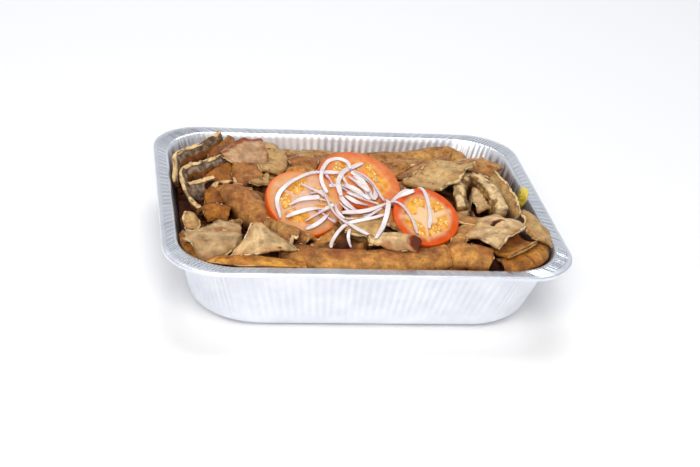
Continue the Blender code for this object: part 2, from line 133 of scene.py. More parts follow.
# The camera, in metres: where it stands, which way it looks, and which way its right side points
# (it is held a little aslant). Then its lens and sensor, in millimetres.
CAMERA_PLACE = (-0.22942, -1.13050, 0.63312)
CAMERA_AHEAD = (0.17624, 0.86848, -0.46333)
CAMERA_RIGHT = (0.98417, -0.14666, 0.09945)
CAMERA_LENS = 79.81
SENSOR_WIDTH = 36.0

# The lamps, in metres: name, place, what it is aimed at, width, watts and tint.
LAMPS = (
    ("softbox_top", (0.05, 0.60, 1.9), (0.05, 0.55, 0.0), 1.2, 18.0, "#F6F8FF"),
    ("softbox_front", (-0.40, -1.30, 1.20), (0.0, 0.0, 0.05), 1.0, 22.8, "#FFFAF4"),
)

# A height above everything, to look down from.
SKY = 200.0

# Places where the heap sinks between the pieces: centre x and y, how wide, and how deep.
HOLLOWS = (
    (-125, 19, 8, 16), (-104, -41, 5, 12), (-96, -54, 4, 11), (-95, -68, 5, 12), (-100, -82, 5, 11),
    (-104, -95, 5, 10), (-136, -98, 6, 10), (82, -62, 6, 12), (-24, -87, 5, 12), (96, -8, 7, 12),
    (110, -27, 5, 12), (97, -106, 5, 14), (-83, 10, 5, 9), (-73, -15, 4, 8), (85, 11, 6, 10),
    (-146, 22, 9, 9), (-144, -8, 9, 9), (-142, -36, 7, 7), (148, 48, 9, 8), (149, 18, 8, 8),
)

# Each strip of meat: the route of its crown line (x, y, z), the width of the flat sheet, how far it
# is curled across (degrees), how far it is rolled over sideways (degrees), its width along the
# route, and which meat it is cut from. A sheet that hangs has its route along its upper edge.
# Strips are listed from the top of the heap down: each is tucked under the ones before it.
# Where a strip needs more: thick (mm), fray (mm by which its edges are frayed), torn (share of half
# its width that may be torn away), crumple (how uneven it is, 1 as usual), sides (how far each side
# reaches at even steps along the route, as shares of half the width), rim (how wide its cream edge
# is, 1 as usual), the stains and hole shades (place along and across, radius in mm and strength:
# below 1 a stain, and above 1 a sunk hole painted near black as painted shade), lip (mm that its
# start turns up), cut (mm cut off its start, at even steps across it), pale_end (mm of cream at its
# start) and band (mm below its upper edge between which the cut face gives way to crust).
STRIPS = {
    "ragged_flake_front_left": dict(
        route=[(-147, -79, 68), (-124, -82, 73), (-99, -81, 72)],
        width=46, curl=34, roll=12, taper=(1.0, 1.0), torn=0.1, meat="worn", fray=2.8,
        crumple=2.5,
        sides=((0.60, 0.48, 0.62, 0.75, 0.95, 0.72, 0.15),
               (0.10, 0.50, 1.35, 1.15, 1.05, 0.75, 0.10)),
        stains_and_hole_shades=((0.62, -0.32, 5.0, 0.6), (0.86, -0.35, 9.0, 0.35), (0.30, 0.35, 10.0, 0.18),
                (0.66, 0.40, 9.0, 0.16), (0.10, -0.1, 8.0, 0.25), (0.40, 0.95, 7.0, 0.3))),
    "pale_triangle_front": dict(
        route=[(-89, -70, 77), (-87, -88, 74), (-85, -106, 69)],
        width=58, curl=22, roll=4, taper=(0.12, 0.5, 1.0), torn=0.06, meat="pale", fray=1.6),
    "pale_flake_right": dict(
        route=[(121, -54, 77), (107, -69, 78), (84, -91, 75)],
        width=38, curl=26, roll=6, taper=(1.0, 1.0), torn=0.1, meat="pale", fray=1.6,
        crumple=1.3,
        sides=((0.75, 0.90, 0.95, 0.80, 0.95, 1.0), (1.0, 1.1, 1.15, 0.95, 0.95, 0.8)),
        stains_and_hole_shades=((0.34, 0.04, 2.0, 2.0), (0.40, 0.10, 2.3, 2.0), (0.46, 0.14, 2.3, 2.0),
                (0.52, 0.16, 2.0, 2.0))),
    "shard_right_edge": dict(
        route=[(139, -36, 74), (141, -62, 73), (142, -88, 70)],
        width=29, curl=60, roll=-22, taper=(0.45, 1.0, 0.6), meat="olive", torn=0.3, fray=2.4,
        crumple=1.5),
    "flake_back_right": dict(
        route=[(52, -14, 80), (75, 15, 81), (97, 42, 80)],
        width=38, curl=-18, roll=-10, taper=(1.0, 1.0), torn=0.08, meat="olive", fray=2.6,
        crumple=1.5,
        sides=((1.0, 1.1, 1.0, 1.05, 0.98, 1.0), (1.0, 0.95, 1.05, 1.0, 1.05, 0.85))),
    "reddish_flake": dict(
        route=[(-109, 52, 76), (-88, 53, 79), (-66, 56, 78)],
        width=38, curl=25, roll=18, taper=(1.0, 1.0), torn=0.08, meat="grey", fray=3.0,
        sides=((0.15, 0.60, 0.95, 1.10, 1.05), (0.10, 0.80, 1.00, 1.05, 0.50)),
        stains_and_hole_shades=((0.12, -0.12, 3.6, 0.6), (0.28, -0.45, 4.4, 0.8), (0.44, -0.70, 4.8, 0.8),
                (0.60, -0.85, 5.4, 0.85), (0.78, -0.95, 6.0, 0.9), (0.96, -0.90, 5.0, 0.8))),
    "small_roll_centre": dict(
        route=[(-6, -93, 77), (8, -94, 80), (24, -95, 80), (38, -98, 78)],
        width=30, curl=185, roll=4, taper=(0.6, 0.9, 1.0, 1.0), meat="pale", fray=1.5, torn=0.15,
        stains_and_hole_shades=((0.97, 0.25, 11.0, 1.5), (0.35, 0.75, 6.0, 0.45))),
    "loose_flap_on_roll": dict(
        route=[(-86, -80, 81), (-71, -83, 81), (-56, -88, 78)],
        width=22, curl=75, roll=-6, taper=(0.8, 1.0, 0.9), meat="golden", fray=1.2),
    "diagonal_roll": dict(
        route=[(-109, 13, 78), (-96, -20, 78), (-84, -44, 77), (-68, -68, 75), (-48, -88, 71)],
        width=52, curl=205, roll=8, taper=(0.85, 1.0, 1.0, 0.95, 0.75), meat="roast", fray=1.5,
        lip=3.0, cut=(40.0, 34.0, 14.0, 4.0, 0.0), pale_end=8.0,
        stains_and_hole_shades=((0.096, 0.38, 2.4, 3.0), (0.156, 0.02, 2.2, 3.0), (0.236, -0.26, 2.2, 3.0))),
    "front_roll": dict(
        route=[(-72, -90, 68), (-48, -98, 70), (-18, -102, 70), (10, -102, 70), (38, -98, 70),
               (60, -94, 71)],
        width=54, curl=230, roll=-12, taper=(0.75, 0.95, 1.0, 1.0, 1.0, 0.95),
        meat="roast", fray=1.2,
        stains_and_hole_shades=((0.14, 0.1, 13.0, 0.2), (0.38, 0.05, 15.0, 0.22), (0.66, 0.1, 14.0, 0.2))),
    "front_right_roll": dict(
        route=[(57, -95, 71), (76, -96, 74), (97, -101, 71)],
        width=52, curl=225, roll=-10, taper=(0.9, 1.05, 0.95), meat="roast", fray=1.2,
        stains_and_hole_shades=((0.82, -0.1, 15.0, 0.3), (0.97, -0.2, 7.0, 0.6))),
    "ring_right": dict(
        route=[(78, -38, 76), (80, -12, 78), (88, 12, 79), (102, 22, 79), (114, 12, 79),
               (120, -8, 78), (122, -36, 75)],
        width=26, curl=16, roll=-98, hang=True, taper=(0.9, 1.0, 1.0, 1.0, 1.0, 1.0, 0.9),
        meat="golden", fray=1.4, thick=11.0, rim=2.0),
    "ring_inner_piece": dict(
        route=[(106, 8, 77), (107, -14, 77), (105, -36, 74)],
        width=26, curl=60, roll=10, taper=(0.8, 1.0, 1.0), meat="pale", fray=1.8, crumple=1.5),
    "ring_foot": dict(
        route=[(78, -34, 72), (86, -49, 74), (102, -50, 73)],
        width=26, curl=110, roll=-20, taper=(0.8, 1.0, 0.9), meat="golden", fray=1.2),
    "corner_piece": dict(
        route=[(102, 47, 73), (118, 52, 75), (133, 40, 73)],
        width=30, curl=70, roll=8, taper=(0.8, 1.0, 0.8), meat="golden", fray=1.2,
        stains_and_hole_shades=((0.72, 0.1, 3.2, 0.85),)),
    "outer_strip_right": dict(
        route=[(126, 42, 75), (132, 18, 75), (135, -9, 74), (134, -36, 72)],
        width=26, curl=30, roll=44, hang=True, taper=(0.7, 1.0, 1.0, 0.9),
        meat="olive", torn=0.12, fray=1.6),
    "curl_right": dict(
        route=[(99, -102, 67), (112, -92, 68), (127, -79, 69)],
        width=30, curl=-110, roll=-4, taper=(0.8, 1.0, 0.8), meat="amber", fray=1.5, rim=0.3,
        stains_and_hole_shades=((0.8, -0.3, 7.0, 0.4),)),
    "roll_front_right_corner": dict(
        route=[(144, -76, 65), (135, -97, 67), (120, -110, 67), (99, -114, 64)],
        width=36, curl=150, roll=-28, taper=(0.6, 1.0, 1.0, 0.85), meat="amber", fray=1.2),
    "long_roll_back": dict(
        route=[(24, 82, 65), (45, 84, 66), (66, 87, 67), (84, 92, 69), (98, 94, 70),
               (107, 84, 70), (109, 64, 69)],
        width=30, curl=215, roll=-8, taper=(0.6, 0.9, 1.0, 1.0, 1.0, 1.0, 0.8),
        meat="golden", fray=1.0),
    "second_roll_back": dict(
        route=[(40, 18, 74), (56, 34, 75), (74, 50, 75), (92, 68, 73)],
        width=32, curl=150, roll=-8, taper=(0.8, 1.0, 1.0, 0.8), meat="golden", fray=1.2),
    "pleat_inner": dict(
        route=[(-117, 19, 74), (-124, 14, 73), (-131, 11, 72), (-139, 10, 71)],
        width=21, curl=20, roll=98, hang=True, taper=(0.8, 1.0, 1.0, 0.9), meat="fold", fray=2.8,
        thick=4.5, rim=1.2, crumple=2.4, stains_and_hole_shades=((0.3, -0.3, 4.6, 2.6),)),
    "pleat_middle": dict(
        route=[(-103, 58, 76), (-115, 46, 76), (-127, 38, 75), (-138, 33, 74), (-143, 22, 72),
               (-142, 5, 70), (-139, -10, 67), (-134, -24, 65), (-126, -34, 64)],
        width=24, curl=14, roll=112, hang=True, taper=(0.8, 1.0, 1.0, 1.0, 1.0, 1.0, 0.9, 0.6),
        meat="fold", fray=1.8, thick=4.5, rim=1.5, band=(7.0, 8.5)),
    "pleat_outer": dict(
        route=[(-107, 100, 76), (-118, 84, 76), (-129, 72, 75), (-140, 65, 74), (-147, 54, 72),
               (-149, 36, 68), (-148, 20, 64)],
        width=25, curl=14, roll=112, hang=True, taper=(0.8, 1.0, 1.0, 1.0, 1.0, 0.8, 0.6),
        meat="fold", fray=1.8, thick=4.5, rim=1.5, band=(7.0, 8.5)),
    "left_roll": dict(
        route=[(-102, 94, 75), (-107, 60, 76), (-112, 28, 74), (-114, -2, 71), (-116, -22, 68)],
        width=28, curl=95, roll=4, taper=(0.8, 1.0, 1.0, 1.0, 0.8), meat="deep", fray=1.0),
    "sheet_back_left": dict(
        route=[(-97, 72, 75), (-91, 38, 76), (-85, 4, 73)],
        width=30, curl=50, roll=6, taper=(0.9, 1.0, 0.8), meat="roast", fray=1.2),
    "pale_flake_back": dict(
        route=[(-63, 82, 75), (-68, 54, 76), (-75, 24, 75)],
        width=38, curl=20, roll=-6, taper=(1.0, 1.0), torn=0.1, meat="olive", fray=2.2,
        sides=((0.30, 0.80, 0.95, 1.00, 0.70), (0.30, 0.50, 0.70, 0.95, 0.90))),
    "small_pale_flake": dict(
        route=[(-90, 10, 76), (-80, 8, 77), (-68, 8, 76)],
        width=18, curl=30, roll=10, taper=(0.6, 1.0, 0.6), meat="olive", fray=1.8),
    "piece_back_middle": dict(
        route=[(-51, 46, 73), (-40, 48, 74), (-24, 46, 72)],
        width=26, curl=60, roll=10, taper=(0.7, 1.0, 0.7), meat="roast", fray=1.4),
    "short_roll_left": dict(
        route=[(-131, -40, 70), (-118, -34, 72), (-104, -38, 71)],
        width=30, curl=170, roll=-5, taper=(0.9, 1.0, 0.9), meat="deep", fray=1.4),
    "strip_front_left": dict(
        route=[(-130, -98, 62), (-105, -103, 65), (-80, -105, 65), (-52, -107, 63)],
        width=34, curl=130, roll=-30, taper=(0.6, 1.0, 1.0, 0.7), meat="amber", fray=1.2, rim=0.3),
    "flake_left_low": dict(
        route=[(-136, -34, 66), (-137, -48, 67), (-138, -62, 64)],
        width=16, curl=40, roll=-10, taper=(0.7, 1.0, 0.7), meat="olive", fray=1.6),
    "strip_left_front_corner": dict(
        route=[(-142, -58, 62), (-140, -82, 63), (-131, -100, 61)],
        width=22, curl=60, roll=16, taper=(0.6, 1.0, 0.6), meat="amber", fray=1.4),
    "strip_between_tomatoes": dict(
        route=[(20, -36, 82), (34, -36, 83), (50, -34, 83)],
        width=20, curl=60, roll=20, taper=(0.8, 1.0, 0.7), meat="pale", fray=1.8),
    "flake_centre": dict(
        route=[(-23, -75, 77), (-5, -78, 79), (13, -79, 78)],
        width=29, curl=30, roll=12, taper=(0.6, 1.0, 0.8), meat="olive", fray=1.8),
    "golden_flake_centre": dict(
        route=[(8, -60, 82), (19, -68, 83), (30, -80, 80)],
        width=24, curl=40, roll=10, taper=(0.7, 1.0, 0.8), meat="golden", fray=1.6),
    "strip_under_tomato": dict(
        route=[(64, -86, 73), (78, -72, 74), (88, -58, 72)],
        width=20, curl=60, roll=0, taper=(0.7, 1.0, 0.7), meat="golden", fray=1.4),
}

# Tomato slices: centre, radius, how far each faces the front and leans to the right (degrees),
# how many seed chambers it shows, where the colour of its skin starts (share of the radius), and
# the colours of its outer wall and its middle.
TOMATOES = {
    "tomato_slice_left": dict(centre=(-49, -46, 80), radius=31.5, front=28, right=6, chambers=5,
                              skin=0.86, wall="#CC8A50", flesh="#D2A68C"),
    "tomato_slice_back": dict(centre=(1, -9, 82), radius=35.5, front=14, right=10, chambers=6,
                              skin=0.88, wall="#D06E38", flesh="#E88C4E"),
    "tomato_slice_right": dict(centre=(45, -67, 80), radius=27.0, front=30, right=4, chambers=4,
                               skin=0.76, wall="#BC4400", flesh="#DCBA90"),
}

# Onion strands in the order they were dropped: each lies on what is already there, so a route
# gives only where it runs (x, y).
ONIONS = {
    "onion_leaf_lower_left": [(-50, -73), (-42, -69), (-35, -64), (-30, -57)],
    "onion_wedge_left": [(-62, -53), (-53, -48), (-45, -46), (-37, -46)],
    "onion_strand_left_lower": [(-65, -65), (-58, -60), (-49, -56), (-40, -53), (-31, -52)],
    "onion_strand_front": [(-33, -98), (-31, -88), (-26, -79), (-18, -74), (-9, -72), (2, -70),
                           (12, -68)],
    "onion_leaf_right_lower": [(-20, -22), (-11, -28), (-2, -32), (6, -37)],
    "onion_leaf_right_middle": [(-10, -13), (-2, -20), (6, -28)],
    "onion_arc_left": [(-70, -66), (-72, -54), (-69, -44), (-62, -36), (-52, -29), (-41, -22),
                       (-29, -13), (-16, -8)],
    "onion_leaf_right_upper": [(-6, -5), (4, -9), (11, -16), (12, -27), (9, -36)],
    "onion_short_left_upper": [(-51, -34), (-44, -37), (-37, -40), (-30, -44)],
    "onion_strand_left_pink": [(-50, -65), (-42, -61), (-34, -56), (-26, -50)],
    "onion_short_right": [(14, -53), (21, -54), (29, -54), (37, -52)],
    "onion_arc_to_right_slice": [(-20, -55), (-10, -54), (2, -52), (12, -53), (20, -57), (27, -63),
                                 (32, -70), (35, -77), (36, -85)],
    "onion_strand_on_right_slice": [(28, -35), (35, -36), (42, -41), (46, -50), (48, -60),
                                    (48, -70), (46, -80)],
    "onion_main_diagonal": [(-33, -38), (-31, -47), (-28, -56), (-23, -65), (-18, -74),
                            (-12, -83), (-4, -92)],
    "onion_strand_from_top": [(6, 10), (-4, 2), (-12, -6), (-17, -16), (-20, -28), (-19, -42)],
    "onion_loop_top": [(-31, -44), (-34, -28), (-30, -9), (-24, 4), (-15, 10), (-8, 6), (-7, -4)],
    "onion_arc_right": [(-4, -4), (5, -10), (12, -20), (16, -32), (17, -45), (16, -58), (13, -71),
                        (8, -84), (1, -98)],
}

# Strands cut wider than the rest, as shares of the usual width.
BROAD_ONIONS = {"onion_arc_to_right_slice": 1.35, "onion_leaf_right_upper": 1.15}

# Slivers of onion between the strands, dropped before them. The first are narrower than a strand
# and the rest are wider, as shares of its width.
NARROW_SLIVERS = 12
NARROW_SHARE = 0.72
WIDE_SHARE = 1.1
SLIVERS = (
    [(-9, -12), (-1, -16), (6, -22), (9, -31)], [(-13, -31), (-4, -35), (5, -37), (13, -39)],
    [(-21, -46), (-16, -50), (-10, -55)], [(-24, -48), (-23, -57), (-19, -66)],
    [(-13, -58), (-3, -54), (8, -52), (18, -50)], [(-18, -66), (-9, -62), (1, -60), (12, -58)],
    [(-28, -33), (-20, -28), (-12, -27)], [(-44, -42), (-38, -39), (-32, -37)],
    [(-42, -46), (-35, -45), (-27, -46)], [(-17, -82), (-19, -90), (-18, -98)],
    [(-12, -2), (-14, -12), (-11, -20)], [(-28, -14), (-27, -24), (-25, -32)],
    [(-4, -9), (3, -15), (7, -24)], [(-13, -20), (-5, -24), (3, -30)],
    [(-3, -15), (3, -23), (6, -33)], [(-17, -26), (-9, -31), (0, -35)],
    [(-15, -36), (-6, -41), (4, -42)], [(-20, -40), (-13, -46), (-6, -49)],
    [(-38, -54), (-32, -60), (-25, -63)], [(14, -44), (22, -47), (31, -47), (38, -51)],
)

# Cuts of meat. The side that shows is browned crust (dark, light), the other is the cut face
# (dark, light), and the edge is drier and paler. A flake is thin, flat and badly torn.
MEATS = {
    "roast": dict(crust=("#965A2C", "#D2964A"), face=("#6A4422", "#A8783E"), edge="#DCB680",
                  flake=False),
    "amber": dict(crust=("#A46424", "#DC9C42"), face=("#84562A", "#BC8C4C"), edge="#E0B878",
                  flake=False),
    "deep": dict(crust=("#84480F", "#C07C26"), face=("#5E3C1A", "#966A34"), edge="#D0A464",
                 flake=False),
    "golden": dict(crust=("#A06A38", "#D8A45C"), face=("#86602E", "#BE965A"), edge="#E4C490",
                   flake=False),
    "pale": dict(crust=("#B8864E", "#DCBC8A"), face=("#967040", "#C49E68"), edge="#E4CAA0",
                 flake=True),
    "olive": dict(crust=("#A87A42", "#D0AA70"), face=("#8A683A", "#B8925C"), edge="#E0C088",
                  flake=True),
    "worn": dict(crust=("#94703E", "#C4A678"), face=("#7E5E38", "#A88858"), edge="#DCC092",
                 flake=True),
    "grey": dict(crust=("#A26C40", "#CCA880"), face=("#745236", "#A07E58"), edge="#D4B084",
                 flake=True),
    "fold": dict(crust=("#7A4416", "#B4742E"), face=("#6E5844", "#A08A72"), edge="#E4C08A",
                 flake=False),
}


def linear(code):
    """Linear red, green, blue and alpha from an sRGB hex code."""
    values = [int(code[place:place + 2], 16) / 255 for place in (1, 3, 5)]
    return tuple(v / 12.92 if v <= 0.04045 else ((v + 0.055) / 1.055) ** 2.4
                 for v in values) + (1.0,)


# ---------------------------------------------------------------- shapes


def lumps(spots, size, seed):
    """Smooth random field from -1 to 1 at points in millimetres, with lumps of about that size."""
    grid = np.asarray(spots, dtype=float) / size + seed * 7.13
    cell = np.floor(grid).astype(np.int64)
    part = grid - cell
    part = part * part * (3 - 2 * part)
    total = np.zeros(len(grid))
    for corner in itertools.product((0, 1), repeat=3):
        at = cell + corner
        mixed = (at[:, 0] * 73856093) ^ (at[:, 1] * 19349663) ^ (at[:, 2] * 83492791)
        mixed = (mixed ^ (seed * 2654435761)) & 0xFFFFFFFF
        mixed = ((mixed ^ (mixed >> 15)) * 2246822519) & 0xFFFFFFFF
        mixed = ((mixed ^ (mixed >> 13)) * 3266489917) & 0xFFFFFFFF
        share = np.prod(np.where(corner, part, 1 - part), axis=1)
        total += share * (((mixed >> 8) & 0xFFFF) / 32767.5 - 1)
    return total


def ease(value, low, high):
    """0 below low, 1 above high, and a smooth step between."""
    part = np.clip((value - low) / (high - low), 0, 1)
    return part * part * (3 - 2 * part)


def place_mesh(name, mesh, finish):
    """Puts a smooth mesh with its finish in the scene."""
    mesh.shade_smooth()
    mesh.materials.append(finish)
    made = bpy.data.objects.new(name, mesh)
    bpy.context.scene.collection.objects.link(made)
    return made


def build(name, points, faces, finish, paint=None):
    """A smooth mesh object from points in millimetres, with its paint as colour attributes.

    The first four columns of the paint are the colour named paint, and a fifth is the stain, whose
    values above 1 mark holes painted near black as painted shade."""
    mesh = bpy.data.meshes.new(name)
    mesh.from_pydata((np.asarray(points) * MM).tolist(), [], faces)
    body = bmesh.new()
    body.from_mesh(mesh)
    bmesh.ops.recalc_face_normals(body, faces=body.faces)
    body.to_mesh(mesh)
    body.free()
    if paint is not None:
        layer = mesh.color_attributes.new("paint", "FLOAT_COLOR", "POINT")
        values = np.column_stack([paint, np.ones(len(points))])[:, :4].astype(np.float32)
        layer.data.foreach_set("color", values.ravel())
        if paint.shape[1] > 4:
            layer = mesh.attributes.new("stain_and_hole_shade", "FLOAT", "POINT")
            layer.data.foreach_set("value", paint[:, 4].astype(np.float32))
    return place_mesh(name, mesh, finish)


def settle_in(piece, slot, *nodes):
    """The piece belongs to the tray and stands for its CAD nodes. The slot is not used."""
    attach(piece, "root")
    if nodes:
        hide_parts(*nodes)


def bridge(count, rows, first=0):
    """Quads between closed rows of equally many points."""
    faces = []
    for row in range(rows - 1):
        low = first + row * count
        for place in range(count):
            following = (place + 1) % count
            faces.append((low + place, low + following,
                          low + count + following, low + count + place))
    return faces


def tube(count, rows):
    """Faces of closed rows of equally many points, with a cap at each end."""
    return bridge(count, rows) + [tuple(range(count))[::-1],
                                  tuple(range(count * (rows - 1), count * rows))]


def points_of(mesh):
    """A mesh's points, in metres."""
    spots = np.zeros(len(mesh.vertices) * 3)
    mesh.vertices.foreach_get("co", spots)
    return spots.reshape(-1, 3)


def surface(made):
    """What a ray can hit, and the lowest and highest corner of its box in millimetres."""
    mesh = made.data
    spots = points_of(mesh)
    tree = BVHTree.FromPolygons(spots.tolist(), [tuple(face.vertices) for face in mesh.polygons])
    return tree, spots.min(axis=0) / MM, spots.max(axis=0) / MM


def top_at(tree, x, y):
    """Height of a surface's top at a spot, in millimetres, or None beside it."""
    hit = tree.ray_cast(Vector((x * MM, y * MM, SKY * MM)), Vector((0, 0, -1)))[0]
    return hit.z / MM if hit else None


def tuck(points, above):
    """Pushes points down under the pieces on top of them: (surface, how far below its top)."""
    for (tree, low, high), depth in above:
        near = np.all((points[:, :2] > low[:2]) & (points[:, :2] < high[:2]), axis=1)
        near &= points[:, 2] > low[2] - depth
        for place in np.nonzero(near)[0]:
            top = top_at(tree, points[place, 0], points[place, 1])
            if top is not None and points[place, 2] > top - depth:
                points[place, 2] = top - depth
    return points


def wall_inset(height):
    """How far in from the rim the leaning wall is at a height."""
    return FLANGE_WIDTH + np.maximum(0, TRAY_HEIGHT - height) * math.tan(WALL_LEAN)


def keep_inside(points, gap=WALL_GAP):
    """Pushes points that are below the rim in to the tray's inner wall."""
    height = points[:, 2]
    inset = wall_inset(height) + gap
    low = height < BOTTOM_FILLET
    inset[low] += BOTTOM_FILLET - height[low]
    corner = RIM_CORNER + inset * CORNER_GROWTH
    core = np.column_stack([RIM_HALF_X - inset - corner, RIM_HALF_Y - inset - corner])
    past = np.abs(points[:, :2]) - core
    both = np.maximum(past, 0)
    reach = np.linalg.norm(both, axis=1)
    over = (reach > corner) & (height < TRAY_HEIGHT + 1.0)
    shrink = corner[over] / reach[over]
    moved = np.minimum(past[over], 0) + both[over] * shrink[:, None] + core[over]
    points[over, :2] = np.sign(points[over, :2]) * moved
    return points


def smooth_route(route, stations):
    """Points spaced evenly along a smooth curve through the route, and the curve's length."""
    knots = np.array(route, dtype=float)
    padded = np.vstack([2 * knots[0] - knots[1], knots, 2 * knots[-1] - knots[-2]])
    fine = []
    for part in range(len(knots) - 1):
        p0, p1, p2, p3 = padded[part:part + 4]
        for step in np.linspace(0, 1, 24, endpoint=False):
            fine.append(0.5 * (2 * p1 + (p2 - p0) * step
                               + (2 * p0 - 5 * p1 + 4 * p2 - p3) * step ** 2
                               + (3 * p1 - p0 - 3 * p2 + p3) * step ** 3))
    fine = np.array(fine + [knots[-1]])
    run = np.concatenate([[0], np.cumsum(np.linalg.norm(np.diff(fine, axis=0), axis=1))])
    even = np.linspace(0, run[-1], stations)
    return np.column_stack([np.interp(even, run, fine[:, axis]) for axis in range(3)]), run[-1]


def directions(spine):
    """Sideways and upward at each point of a route."""
    tangent = np.gradient(spine, axis=0)
    tangent /= np.linalg.norm(tangent, axis=1)[:, None]
    sideways = np.cross(tangent, (0, 0, 1))
    sideways /= np.linalg.norm(sideways, axis=1)[:, None]
    return sideways, np.cross(sideways, tangent)


def torn_line(random, length, pitch=8.0):
    """How far a torn edge is eaten away, from 0 to 1, at knots about pitch apart."""
    return random.random(max(3, int(length / pitch) + 2))


def along_line(line, share):
    """The torn line's value at a share of its length."""
    return np.interp(share, np.linspace(0, 1, len(line)), line)


def jagged(spots, size, seed):
    """A torn edge's reach, about -1 to 1: broad bites with small sharp teeth on them."""
    broad = lumps(spots, size, seed)
    teeth = 1 - 2 * np.abs(lumps(spots, size * 0.42, seed + 1)) ** 0.6
    return 0.6 * np.sign(broad) * np.abs(broad) ** 0.7 - 0.7 * teeth


def sheet_section(columns, thick):
    """Round a sheet's section: place across (-1 to 1), depth (0 on top, 1 below), bulge (mm)."""
    top = np.linspace(-1, 1, columns)
    side = np.ones(3)
    rounding = (0.12, 0.16, 0.12)
    across = np.concatenate([top, side, top[::-1], -side])
    depth = np.concatenate([0 * top, (0.2, 0.5, 0.8), 0 * top + 1, (0.8, 0.5, 0.2)])
    bulge = np.concatenate([0 * top, rounding, 0 * top, rounding]) * thick
    return across, depth, bulge


def sheet_faces(columns, stations):
    """Faces of a sheet: its sections joined, and both ends closed from top to underside."""
    count = 2 * columns + 6
    faces = bridge(count, stations)
    for start in (0, count * (stations - 1)):
        under = start + 2 * columns + 2
        for place in range(columns - 1):
            faces.append((start + place, start + place + 1, under - place - 1, under - place))
        last = start + columns
        faces.append((last - 1, last, last + 1, last + 2, last + 3))
        faces.append((start, under, under + 1, under + 2, under + 3))
    return faces


